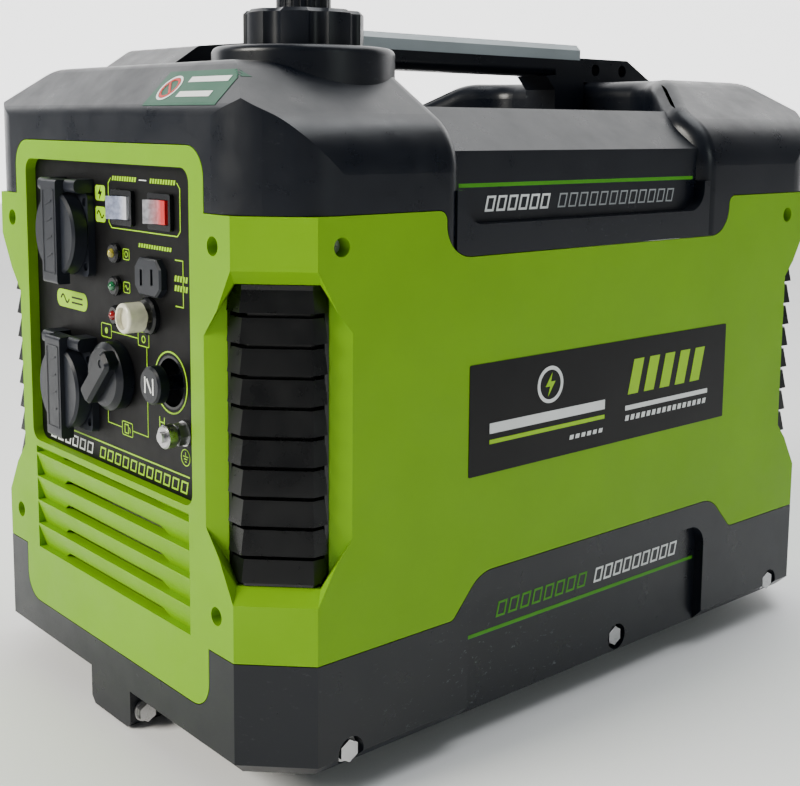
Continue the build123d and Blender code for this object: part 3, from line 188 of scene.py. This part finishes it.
def two_tone_clear(name, node, left, right, start, stop):
    """Clear rocker cap over an inner part that changes colour from left to right."""
    surface = Surface(name)
    low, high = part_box(node)
    across = surface.node("ShaderNodeSeparateXYZ")
    surface.link(surface.place, across.inputs["Vector"])
    share = surface.node("ShaderNodeMapRange")
    share.inputs["From Min"].default_value = low.x + (high.x - low.x) * start
    share.inputs["From Max"].default_value = low.x + (high.x - low.x) * stop
    surface.link(across.outputs["X"], share.inputs["Value"])
    cloud = surface.ramp(surface.noise(320.0, 2.0), tuple(c * 0.6 for c in left), left, 0.35, 0.60)
    coated(surface, surface.mix(share.outputs["Result"], cloud, right), 0.10, 0.04)
    surface.set(Transmission_Weight=0.25, IOR=1.49, Coat_Weight=0.6, Coat_Roughness=0.05)
    surface.bump([(surface.noise(220.0, 2.0), 0.08, 0.0002)])
    return surface.material


def metal(name, colour, roughness, brush=(1.0, 1.0, 1.0), tint=None, grain=0.15):
    """Bare or plated metal with brushing, and heat tint or dirt if asked for."""
    surface = Surface(name)
    tone = spread_tone(surface, colour, 0.12, 60.0)
    if tint:
        tone = surface.mix(surface.grey(surface.noise(22.0, 3.0), 0.0, 0.8, 0.42, 0.62), tone, tint)
    coated(surface, tone, roughness, 0.10, 120.0)
    surface.set(Metallic=1.0)
    surface.bump([(surface.noise(700.0, 4.0, 0.7, brush), grain, 0.00008)])
    return surface.material


def cast_metal(name, colour, roughness=0.55):
    """Sand-cast aluminium or iron: pebbled skin, darker in the pores."""
    surface = Surface(name)
    pores = surface.noise(420.0, 6.0, 0.7)
    low = tuple(c * 0.55 for c in colour)
    coated(surface, surface.ramp(pores, low, colour, 0.30, 0.55), roughness, 0.10)
    surface.set(Metallic=0.85)
    surface.bump([(pores, 0.5, 0.0003), (surface.noise(1800.0, 3.0), 0.3, 0.00008)])
    return surface.material


def rubber(name, colour):
    """Dull foot rubber with dust caught in its skin."""
    surface = Surface(name)
    dust = surface.grey(surface.noise(240.0, 6.0, 0.7), 0.0, 0.35, 0.52, 0.75)
    coated(surface, surface.mix(dust, colour, (0.09, 0.085, 0.08)), 0.78)
    surface.bump([(surface.noise(900.0, 4.0), 0.5, 0.0002)])
    return surface.material


def film(name, colour, roughness=0.28):
    """Printed adhesive film with a faint orange-peel gloss."""
    surface = Surface(name)
    coated(surface, spread_tone(surface, colour, 0.05, 30.0), roughness, 0.05)
    surface.set(Specular_IOR_Level=0.16)
    surface.bump([(surface.noise(130.0, 2.0), 0.05, 0.0003)])
    return surface.material


def make_materials():
    """One material for each material slot of the record."""
    scuff = (0.10, 0.11, 0.12)
    economy_colours = (0.42, 0.47, 0.66), (0.72, 0.74, 0.78)
    engine_colours = (0.50, 0.50, 0.56), (0.72, 0.012, 0.010)
    return {
        "green_plastic": moulded("green_plastic", (0.155, 0.350, 0.0), 0.42, spread=0.04, gloss=0.14),
        "black_plastic": moulded("black_plastic", (0.0026, 0.0040, 0.0078), 0.32, scuff=scuff, gloss=0.32),
        "grille_plastic": moulded("grille_plastic", (0.0020, 0.0022, 0.0026), 0.30, gloss=0.42),
        "panel_plastic": moulded("panel_plastic", (0.0026, 0.0026, 0.0030), 0.46, gloss=0.14),
        "socket_plastic": moulded("socket_plastic", (0.0100, 0.0120, 0.0180), 0.36),
        "switch_plastic": moulded("switch_plastic", (0.0060, 0.0065, 0.0080), 0.22, grain=0.10),
        "rocker_clear": two_tone_clear("rocker_clear", "economy_switch_rocker", *economy_colours, 0.5, 0.95),
        "rocker_red": two_tone_clear("rocker_red", "engine_switch_rocker", *engine_colours, 0.15, 0.75),
        "lens_yellow": clear_plastic("lens_yellow", (0.60, 0.52, 0.05)),
        "lens_green": clear_plastic("lens_green", (0.02, 0.30, 0.10)),
        "lens_red": clear_plastic("lens_red", (0.50, 0.012, 0.012)),
        "breaker_cream": clear_plastic("breaker_cream", (0.85, 0.83, 0.66), 0.30, 0.20),
        "steel": metal("steel", (0.44, 0.44, 0.45), 0.32),
        "handle_grey": moulded("handle_grey", (0.38, 0.43, 0.45), 0.36),
        "foot_rubber": rubber("foot_rubber", (0.012, 0.012, 0.012)),
        "label": film("label", (0.0024, 0.0024, 0.0028), 0.36),
        "cast": cast_metal("cast", (0.46, 0.46, 0.47)),
        "iron": metal("iron", (0.16, 0.16, 0.17), 0.40, (4.0, 1.0, 1.0), (0.10, 0.07, 0.05)),
        "tank_steel": moulded("tank_steel", (0.012, 0.012, 0.013), 0.30, gloss=0.5),
        "muffler_steel": metal("muffler_steel", (0.34, 0.31, 0.28), 0.38, tint=(0.22, 0.12, 0.06)),
        "winding": metal("winding", (0.42, 0.13, 0.035), 0.30, (1.0, 14.0, 14.0), grain=0.6),
    }


def print_materials():
    """Inks of the panel, labels and stripes."""
    return {
        "lime": film("lime_ink", (0.30, 0.58, 0.004), 0.40),
        "stripe": film("stripe_ink", (0.055, 0.26, 0.008), 0.40),
        "white": film("white_ink", (0.72, 0.74, 0.74), 0.40),
        "grey": film("grey_ink", (0.30, 0.32, 0.33), 0.40),
        "black": film("black_ink", (0.0030, 0.0030, 0.0036), 0.40),
        "forest": film("forest_film", (0.004, 0.075, 0.036), 0.35),
        "red": film("red_ink", (0.50, 0.02, 0.015), 0.40),
    }


def finish_cad_nodes(materials):
    """Give every CAD node its slot's material and slightly softened edges."""
    for part in frame["record"]["subparts"]:
        name = part["node"]
        node = frame["nodes"][name]
        node.data.materials.clear()
        node.data.materials.append(materials[part["material_slot"]])
        low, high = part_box(name)
        bevel = node.modifiers.new("soft_edges", "BEVEL")
        bevel.width = 0.7 * MM if max(high - low) > 100 * MM else 0.25 * MM
        bevel.segments = 2
        bevel.limit_method = "ANGLE"
        bevel.angle_limit = math.radians(40)
        bevel.harden_normals = True


# ---- thin prints on the casing ----
def on_panel(u, v):
    """Panel face: u across, v up."""
    return Vector((u, PANEL_Y, v))


def on_side(x):
    """Upright face on the right side at one x: u along the length, v up."""
    def place(u, v):
        return Vector((x, u, v))
    return place


def on_left_side(x):
    def place(u, v):
        return Vector((-x, -u, v))
    return place


def onto_surface(node, origin, across, upwards):
    """Place on a curved CAD node, found by looking along the normal of a flat sheet."""
    tree = BVHTree.FromObject(frame["nodes"][node], bpy.context.evaluated_depsgraph_get())
    normal = across.cross(upwards).normalized()
    def place(u, v):
        start = origin + across * u + upwards * v + normal * 30 * MM
        hit = tree.ray_cast(start, -normal)[0]
        return hit if hit is not None else start - normal * 30 * MM
    return place


class Print:
    """Thin raised shapes of one ink on one surface."""

    def __init__(self, name, place, out, ink, lift=0.0):
        self.name = name
        self.place = place
        self.out = Vector(out)
        self.ink = ink
        self.lift = lift
        self.mesh = bmesh.new()

    def corner(self, point):
        return self.mesh.verts.new(self.place(*point) + self.out * (self.lift + PRINT_T))

    def fill(self, points):
        """Solid shape from its outline."""
        self.mesh.faces.new([self.corner(point) for point in points])

    def grid(self, u, v, steps):
        """Rectangle cut into small tiles, to follow a curved surface."""
        rows = []
        for j in range(steps[1] + 1):
            height = v[0] + (v[1] - v[0]) * j / steps[1]
            row = [(u[0] + (u[1] - u[0]) * i / steps[0], height) for i in range(steps[0] + 1)]
            rows.append([self.corner(point) for point in row])
        for lower, upper in zip(rows, rows[1:]):
            for i in range(steps[0]):
                self.mesh.faces.new((lower[i], lower[i + 1], upper[i + 1], upper[i]))

    def line(self, points, width, closed=False):
        """Stroke of even width along a run of points."""
        count = len(points)
        sides = []
        for index, point in enumerate(points):
            last = points[index - 1] if closed or index else point
            following = points[(index + 1) % count] if closed or index < count - 1 else point
            arriving = Vector(point) - Vector(last)
            leaving = Vector(following) - Vector(point)
            arriving = arriving.normalized() if arriving.length else leaving.normalized()
            leaving = leaving.normalized() if leaving.length else arriving
            along = (arriving + leaving).normalized()
            reach = width / 2 / max(0.5, along.dot(leaving))
            across = Vector((-along.y, along.x)) * reach
            sides.append((self.corner(Vector(point) + across), self.corner(Vector(point) - across)))
        pairs = list(zip(sides, sides[1:] + sides[:1])) if closed else list(zip(sides, sides[1:]))
        for (a, b), (c, d) in pairs:
            self.mesh.faces.new((a, b, d, c))

    def done(self, body="casing"):
        """Make the object, thick enough to reach back to the surface."""
        bmesh.ops.recalc_face_normals(self.mesh, faces=self.mesh.faces)
        for face in self.mesh.faces:
            face.normal_update()
            if face.normal.dot(self.out) < 0:
                face.normal_flip()
        bmesh.ops.solidify(self.mesh, geom=self.mesh.faces[:], thickness=PRINT_T)
        data = bpy.data.meshes.new(self.name)
        self.mesh.to_mesh(data)
        self.mesh.free()
        data.materials.append(self.ink)
        piece = bpy.data.objects.new(self.name, data)
        bpy.context.scene.collection.objects.link(piece)
        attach(piece, body)
        return piece


def rounded(u, v, radius, steps=5):
    """Rounded rectangle between two u values and two v values."""
    points = []
    corners = ((u[1], v[1], 0), (u[0], v[1], 1), (u[0], v[0], 2), (u[1], v[0], 3))
    for corner_u, corner_v, quarter in corners:
        inward_u = -radius if quarter in (0, 3) else radius
        inward_v = -radius if quarter in (0, 1) else radius
        for step in range(steps + 1):
            angle = (quarter + step / steps) * math.pi / 2
            points.append((corner_u + inward_u + radius * math.cos(angle),
                           corner_v + inward_v + radius * math.sin(angle)))
    return points


def circle(u, v, radius, start=0.0, stop=360.0, steps=40):
    """Points on a circle or an arc, angles in degrees."""
    full = abs(stop - start) >= 360
    count = steps if full else steps + 1
    span = math.radians(stop - start) / steps
    first = math.radians(start)
    angles = [first + index * span for index in range(count)]
    return [(u + radius * math.cos(angle), v + radius * math.sin(angle)) for angle in angles]


def box_about(u, v, width, height):
    return (u - width / 2, u + width / 2), (v - height / 2, v + height / 2)


def rectangle(u, v):
    return [(u[0], v[0]), (u[1], v[0]), (u[1], v[1]), (u[0], v[1])]


def flash(u, v, size):
    """Small lightning flash."""
    shape = ((0.10, 0.50), (-0.30, -0.08), (-0.02, -0.08), (-0.14, -0.50), (0.30, 0.12), (0.02, 0.12))
    return [(u + size * a, v + size * b) for a, b in shape]


def wave(u, v, width, height, steps=24):
    """One period of a sine wave."""
    return [(u + width * (i / steps - 0.5), v + height / 2 * math.sin(2 * math.pi * i / steps))
            for i in range(steps + 1)]


# ---- control panel graphics ----
def panel_prints(inks):
    """Outlines, rules and symbols round the controls."""
    lime = Print("panel_lime", on_panel, FRONTWARDS, inks["lime"])
    tag_marks = Print("panel_lime_marks", on_panel, FRONTWARDS, inks["black"], PRINT_T)
    white = Print("panel_white", on_panel, FRONTWARDS, inks["white"])
    economy = middle("economy_switch_frame")
    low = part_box("economy_switch_frame")[0]
    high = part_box("engine_switch_frame")[1]
    switch_box(lime, white, low, high)
    tag_u = low.x - 16.5 * MM
    flash_v = economy.z + 7 * MM
    wave_v = economy.z - 5.5 * MM
    for tag_v in (flash_v, wave_v):
        lime.fill(rounded(*box_about(tag_u, tag_v, 12 * MM, 9 * MM), 2 * MM))
    tag_marks.fill(flash(tag_u, flash_v, 8 * MM))
    tag_marks.line(wave(tag_u, wave_v, 8 * MM, 4 * MM), 0.8 * MM)
    lamp_prints(lime)
    socket_prints(lime, tag_marks)
    outlet_prints(lime)
    valve_prints(lime)
    choke_prints(lime)
    ground_prints(lime)
    for piece in (lime, tag_marks, white):
        piece.done()


def switch_box(lime, white, low, high):
    """Outline round both switches, with rows of bars along its open top."""
    left = low.x - 6.4 * MM
    right = high.x + 6.4 * MM
    foot = low.z - 2.3 * MM
    head = high.z + 6.2 * MM
    cut = 3 * MM
    left_half = [(left + cut, head), (left, head - cut), (left, foot + cut), (left + cut, foot)]
    right_half = [(left + right - u, v) for u, v in reversed(left_half)]
    lime.line(left_half + right_half, THIN)
    third = (right - left) / 3
    bar_height = 2.6 * MM
    dash_row(lime, left + 4.5 * MM, left + 1.25 * third, head, 10, bar_height)
    white.line([(left + 1.36 * third, head), (left + 1.66 * third, head)], FINE)
    dash_row(lime, left + 1.80 * third, right - 4 * MM, head, 10, bar_height)


def lamp_prints(lime):
    """An outlined box with a symbol beside each lamp."""
    for index, name in enumerate(("oil", "output", "overload")):
        spot = middle(f"lamp_lens_{name}")
        u = spot.x + 11 * MM
        lime.line(rounded(*box_about(u, spot.z, 7 * MM, 6 * MM), 1 * MM), 0.45 * MM, True)
        marks = (circle(u, spot.z, 1.6 * MM), wave(u, spot.z, 4 * MM, 2.4 * MM), flash(u, spot.z, 4.5 * MM))
        lime.line(marks[index], FINE, index != 1)


def socket_prints(lime, marks):
    """Lime tag between the two sockets, with a sine wave on it."""
    upper = middle("socket_upper")
    lower = middle("socket_lower")
    u = upper.x - 7 * MM
    v = (upper.z + lower.z) / 2 + 1 * MM
    stroke = 1.1 * MM
    lime.fill(rounded(*box_about(u, v, 40 * MM, 11 * MM), 5 * MM))
    marks.line(wave(u - 9 * MM, v, 11 * MM, 4.5 * MM), stroke)
    for row in (-1.6, 1.6):
        marks.line([(u, v + row * MM), (u + 14 * MM, v + row * MM)], stroke)


def outlet_prints(lime):
    """Bracket beside the outlet, and rows of bars over it and in the bracket."""
    low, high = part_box("dc_outlet")
    u = high.x + 17 * MM
    top = high.z + 1 * MM
    foot = low.z - 3 * MM
    lime.line([(u - 8 * MM, top), (u, top), (u, foot), (u - 8 * MM, foot)], THIN)
    centre_z = (top + foot) / 2
    for row in (2.6, -2.6):
        dash_row(lime, u - 9 * MM, u + 5 * MM, centre_z + row * MM, 5, 3.2 * MM)
    dash_row(lime, low.x - 2 * MM, high.x + 6 * MM, high.z + 6 * MM, 13, 2.2 * MM)


def valve_prints(lime):
    """Two outlined state boxes and the pump box, joined by a fine line."""
    spot = middle("fuel_valve_knob")
    def at(du, dv):
        return spot.x + du * MM, spot.z + dv * MM
    on_box = at(-13.0, 24.5)
    off_box = at(30.5, 25.0)
    pump_box = at(10.0, -30.5)
    for centre in (on_box, off_box, pump_box):
        lime.line(rounded(*box_about(*centre, 12 * MM, 8 * MM), 1 * MM), FINE, True)
    lime.fill(circle(*on_box, 1.8 * MM, steps=20))
    lime.line(circle(*off_box, 1.8 * MM, steps=20), THIN, True)
    lime.line(rectangle(*box_about(*at(9.0, -30.5), 4 * MM, 5 * MM)), THIN, True)
    hose = [at(11.0, -29.0), at(13.0, -30.0), at(13.0, -32.5)]
    top_link = [at(-7.0, 24.8), at(24.5, 24.8)]
    right_link = [at(34.0, 21.0), at(34.0, -30.5), at(16.0, -30.5)]
    left_link = [at(4.0, -30.5), at(-13.0, -30.5), at(-13.0, -20.0)]
    for run in (hose, top_link, right_link, left_link):
        lime.line(run, FINE)


def choke_prints(lime):
    """Ring round the choke and its two position marks."""
    spot = middle("choke_bush")
    stroke = 0.7 * MM
    lime.line(circle(spot.x, spot.z, 17 * MM), 0.9 * MM, True)
    for du, lean in ((-10.0, 0.0), (10.0, 2.2 * MM)):
        u = spot.x + du * MM
        v = spot.z - 24 * MM
        for edge in (-2.5, 2.5):
            lime.line([(u + edge * MM, v - 3 * MM), (u + edge * MM, v + 3 * MM)], stroke)
        lime.line([(u - 1.8 * MM, v - lean), (u + 1.8 * MM, v + lean)], stroke)


def ground_prints(lime):
    """Earth sign under the ground stud."""
    spot = middle("ground_stud")
    v = spot.z - 12 * MM
    lime.line(circle(spot.x, v - 1.5 * MM, 4.5 * MM, steps=28), FINE, True)
    lime.line([(spot.x, v + 1.5 * MM), (spot.x, v - 1 * MM)], THIN)
    for step, half in enumerate((2.6, 1.7, 0.8)):
        row = v - (1 + 1.4 * step) * MM
        lime.line([(spot.x - half * MM, row), (spot.x + half * MM, row)], FINE)


def panel_foot(inks):
    """Lime rule and a row of bars along the bottom of the panel."""
    rule_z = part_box("control_panel")[0].z + 14.5 * MM
    row_z = rule_z - 6.5 * MM
    half = 84 * MM
    bar_height = 6 * MM
    rule = Print("panel_foot_rule", on_panel, FRONTWARDS, inks["lime"])
    rule.line([(-half * 0.62, rule_z), (half, rule_z)], 0.8 * MM)
    white = Print("panel_foot_white", on_panel, FRONTWARDS, inks["white"])
    dash_row(white, -half, -half * 0.3, row_z, 6, bar_height, 1.1 * MM)
    dash_row(rule, -half * 0.22, half, row_z, 11, bar_height, 1.0 * MM)
    white.done()
    rule.done()


def dash_row(target, start, stop, v, count, height, stroke=None):
    """Row of plain leaning bars in place of lettering, filled or in outline."""
    pitch = (stop - start) / count
    width = 0.62 * pitch
    lean = 0.25 * height
    for index in range(count):
        u = start + index * pitch
        bar = [(u, v - height / 2), (u + width, v - height / 2),
               (u + width + lean, v + height / 2), (u + lean, v + height / 2)]
        if stroke:
            target.line(bar, stroke, True)
        else:
            target.fill(bar)


# ---- side prints ----
def side_stripes(inks):
    """Green rules and rows of outlined bars on the black bands of both long sides."""
    rule_t = 2.2 * MM
    stroke = 1.3 * MM
    upper_row = 313.5 * MM
    lower_row = 74 * MM
    for side, placer, out in (("right", on_side, (1, 0, 0)), ("left", on_left_side, (-1, 0, 0))):
        band = placer(SETBACK_X)
        scallop = placer(SCALLOP_X)
        rules = Print(f"stripe_{side}_rules", band, out, inks["stripe"])
        rules.line([(-117 * MM, 324 * MM), (94 * MM, 324 * MM)], rule_t)
        white = Print(f"stripe_{side}_white", band, out, inks["white"])
        dash_row(white, -96 * MM, -42 * MM, upper_row, 6, 7.5 * MM, stroke)
        grey = Print(f"stripe_{side}_grey", band, out, inks["grey"])
        dash_row(grey, -36 * MM, 76 * MM, upper_row, 12, 7.5 * MM, 0.7 * stroke)
        low_rule = Print(f"base_{side}_rule", scallop, out, inks["stripe"])
        low_rule.line([(-109 * MM, 63 * MM), (109 * MM, 63 * MM)], rule_t)
        dash_row(low_rule, -82 * MM, 0, lower_row, 8, 8 * MM, stroke)
        low_white = Print(f"base_{side}_white", scallop, out, inks["white"])
        dash_row(low_white, 6 * MM, 92 * MM, lower_row, 9, 8 * MM, stroke)
        for piece in (rules, white, grey, low_rule, low_white):
            piece.done()


def side_label_art(inks):
    """Generic art on the side labels: a ring with a flash, bars and a block row."""
    low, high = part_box("side_labels")
    mid = (low.z + high.z) / 2
    left_u = (-98 * MM, 2 * MM)
    right_u = (22 * MM, 108 * MM)
    ring_u = -48 * MM
    ring_v = mid + 13 * MM
    for side, placer, out in (("right", on_side, (1, 0, 0)), ("left", on_left_side, (-1, 0, 0))):
        place = placer(high.x)
        white = Print(f"label_{side}_white", place, out, inks["white"])
        lime = Print(f"label_{side}_lime", place, out, inks["lime"])
        white.line(circle(ring_u, ring_v, 10 * MM), 2.2 * MM, True)
        lime.fill(flash(ring_u, ring_v, 14 * MM))
        white.fill(rectangle(left_u, (mid - 9 * MM, mid - 3 * MM)))
        lime.fill(rectangle(left_u, (mid - 15 * MM, mid - 12.5 * MM)))
        dash_row(white, -30 * MM, 2 * MM, mid - 22 * MM, 6, 2.6 * MM)
        dash_row(lime, 24 * MM, 104 * MM, mid + 8 * MM, 5, 22 * MM)
        white.fill(rectangle(right_u, (mid - 13 * MM, mid - 10 * MM)))
        dash_row(white, *right_u, mid - 18 * MM, 16, 3.4 * MM)
        white.done()
        lime.done()


def make_sticker(inks):
    """Dark green sticker that follows the front right of the top, with generic marks."""
    across = Vector((1, 0, 0))
    upwards = Vector((0, 1, 1)).normalized()
    out = across.cross(upwards)
    origin = Vector((84 * MM, FRONT_Y + 11 * MM, RIM_Z + 11 * MM))
    place = onto_surface("top_shell_right", origin, across, upwards)
    ring_u = -22 * MM
    ink_lift = 0.3 * MM
    slash = 4.4 * MM
    sheet = Print("sticker_film", place, out, inks["forest"], 0.1 * MM)
    sheet.grid((-36 * MM, 36 * MM), (-13 * MM, 13 * MM), (36, 13))
    sheet.done()
    white = Print("sticker_white", place, out, inks["white"], ink_lift)
    white.line(circle(ring_u, 0, 8.5 * MM), 1.4 * MM, True)
    for row, reach in ((6.0, 30.0), (-5.0, 24.0)):
        white.grid((-8 * MM, reach * MM), ((row - 2) * MM, (row + 2) * MM), (24, 2))
    white.done()
    red = Print("sticker_red", place, out, inks["red"], ink_lift)
    red.line(circle(ring_u, 0, 6.6 * MM), 1.6 * MM, True)
    red.line([(ring_u - slash, slash), (ring_u + slash, -slash)], 1.6 * MM)
    red.done()


# ---- small raised details on moving controls ----
def lid_details(materials):
    """Raised border and bars on each socket strap."""
    for name in ("upper", "lower"):
        front_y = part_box(f"socket_{name}_lid")[0].y
        spot = middle(f"socket_{name}_lid")
        def place(u, v, y=front_y):
            return Vector((u, y, v))
        trim = Print(f"lid_{name}_trim", place, FRONTWARDS, materials["socket_plastic"], 0.25 * MM)
        border = rounded(*box_about(spot.x, spot.z, 14.5 * MM, 50 * MM), 1.5 * MM)
        trim.line(border, 0.9 * MM, True)
        for row in range(4):
            v = spot.z + (16 - 10.5 * row) * MM
            trim.line([(spot.x - 4 * MM, v), (spot.x + 4 * MM, v + 2.5 * MM)], 1.0 * MM)
        trim.done(f"{name}_lid")


def knob_marks(inks):
    """Grey dot on the valve knob and white marks on the choke knob."""
    dot_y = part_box("fuel_valve_knob")[0].y + 3 * MM
    spot = middle("fuel_valve_knob")
    reach = 14 * MM / math.sqrt(2)
    def on_valve(u, v):
        return Vector((u, dot_y, v))
    dot = Print("valve_dot", on_valve, FRONTWARDS, inks["grey"])
    dot.fill(circle(spot.x + reach, spot.z + reach, 2.0 * MM, steps=24))
    dot.done("fuel_knob")
    choke_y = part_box("choke_knob")[0].y
    choke = middle("choke_knob")
    def on_choke(u, v):
        return Vector((u, choke_y, v))
    mark = Print("choke_mark", on_choke, FRONTWARDS, inks["white"])
    stroke = 1.3 * MM
    for u in (choke.x - 4.2 * MM, choke.x + 4.2 * MM):
        mark.line([(u, choke.z - 4.5 * MM), (u, choke.z + 4.5 * MM)], stroke)
    flap = (2.2 * MM, 3.6 * MM)
    mark.line([(choke.x - flap[0], choke.z + flap[1]), (choke.x + flap[0], choke.z - flap[1])], stroke)
    mark.done("choke")


# ---- stage, light and camera ----
def pale(surface):
    """Even off-white, with hardly any gloss."""
    surface.link(surface.grey(surface.noise(2.0, 2.0), 0.90, 0.93), surface.shader.inputs["Base Color"])
    surface.set(Roughness=0.9, Specular_IOR_Level=0.1)
    return surface


def stage_plane(surface, **placing):
    bpy.ops.mesh.primitive_plane_add(size=14.0, **placing)
    plane = bpy.context.object
    plane.name = surface.material.name
    plane.data.materials.append(surface.material)


def make_floor():
    stage_plane(pale(Surface("floor")), location=(0, 0, 0))


def make_wall():
    """Pale glowing wall far beyond the object, square to the camera's view."""
    surface = pale(Surface("wall"))
    surface.set(Emission_Color=(1.0, 1.0, 1.0, 1.0), Emission_Strength=2.2)
    stage_plane(surface, location=(-3.4, 3.0, 2.0), rotation=(math.pi / 2, 0, math.radians(49)))


def make_world():
    world = bpy.data.worlds.new("studio")
    bpy.context.scene.world = world
    world.use_nodes = True
    background = world.node_tree.nodes["Background"]
    background.inputs["Color"].default_value = (0.93, 0.96, 1.0, 1.0)
    background.inputs["Strength"].default_value = 0.16


def make_light(name, location, size, power, colour=(1.0, 1.0, 1.0), target=(0, 0, 0.2)):
    data = bpy.data.lights.new(name, "AREA")
    data.color = colour
    data.shape = "RECTANGLE"
    data.size, data.size_y = size
    data.energy = power
    light = bpy.data.objects.new(name, data)
    light.location = location
    aim = Vector(target) - Vector(location)
    light.rotation_euler = aim.to_track_quat("-Z", "Y").to_euler()
    bpy.context.scene.collection.objects.link(light)


def make_lights():
    make_light("key", (-0.6, -2.3, 1.4), (1.2, 1.0), 100.0, (1.0, 0.97, 0.88))
    make_light("top", (0.3, 0.6, 2.4), (1.6, 1.6), 40.0, (0.95, 0.98, 1.0))
    make_light("side", (2.4, 0.2, 1.0), (0.7, 0.9), 6.0, (0.90, 1.0, 0.95))


def make_camera():
    """Camera off the front right corner, a little above the middle."""
    yaw, pitch, roll = 0.856327, 0.132575, 0.008694
    back = Vector((math.sin(yaw) * math.cos(pitch), -math.cos(yaw) * math.cos(pitch), math.sin(pitch)))
    right = Vector((math.cos(yaw), math.sin(yaw), 0.0))
    up = back.cross(right)
    side = math.cos(roll) * right + math.sin(roll) * up
    head = -math.sin(roll) * right + math.cos(roll) * up
    data = bpy.data.cameras.new("camera")
    data.lens = 56.1617
    data.sensor_width = 36.0
    data.shift_y = -0.128771
    camera = bpy.data.objects.new("camera", data)
    turn = Matrix((side, head, back)).transposed()
    camera.matrix_world = Matrix.Translation((0.652638, -0.587635, 0.357430)) @ turn.to_4x4()
    bpy.context.scene.collection.objects.link(camera)
    bpy.context.scene.camera = camera


slots = make_materials()
inks = print_materials()
finish_cad_nodes(slots)
panel_prints(inks)
panel_foot(inks)
side_stripes(inks)
side_label_art(inks)
make_sticker(inks)
lid_details(slots)
knob_marks(inks)
make_floor()
make_wall()
make_world()
make_lights()
make_camera()
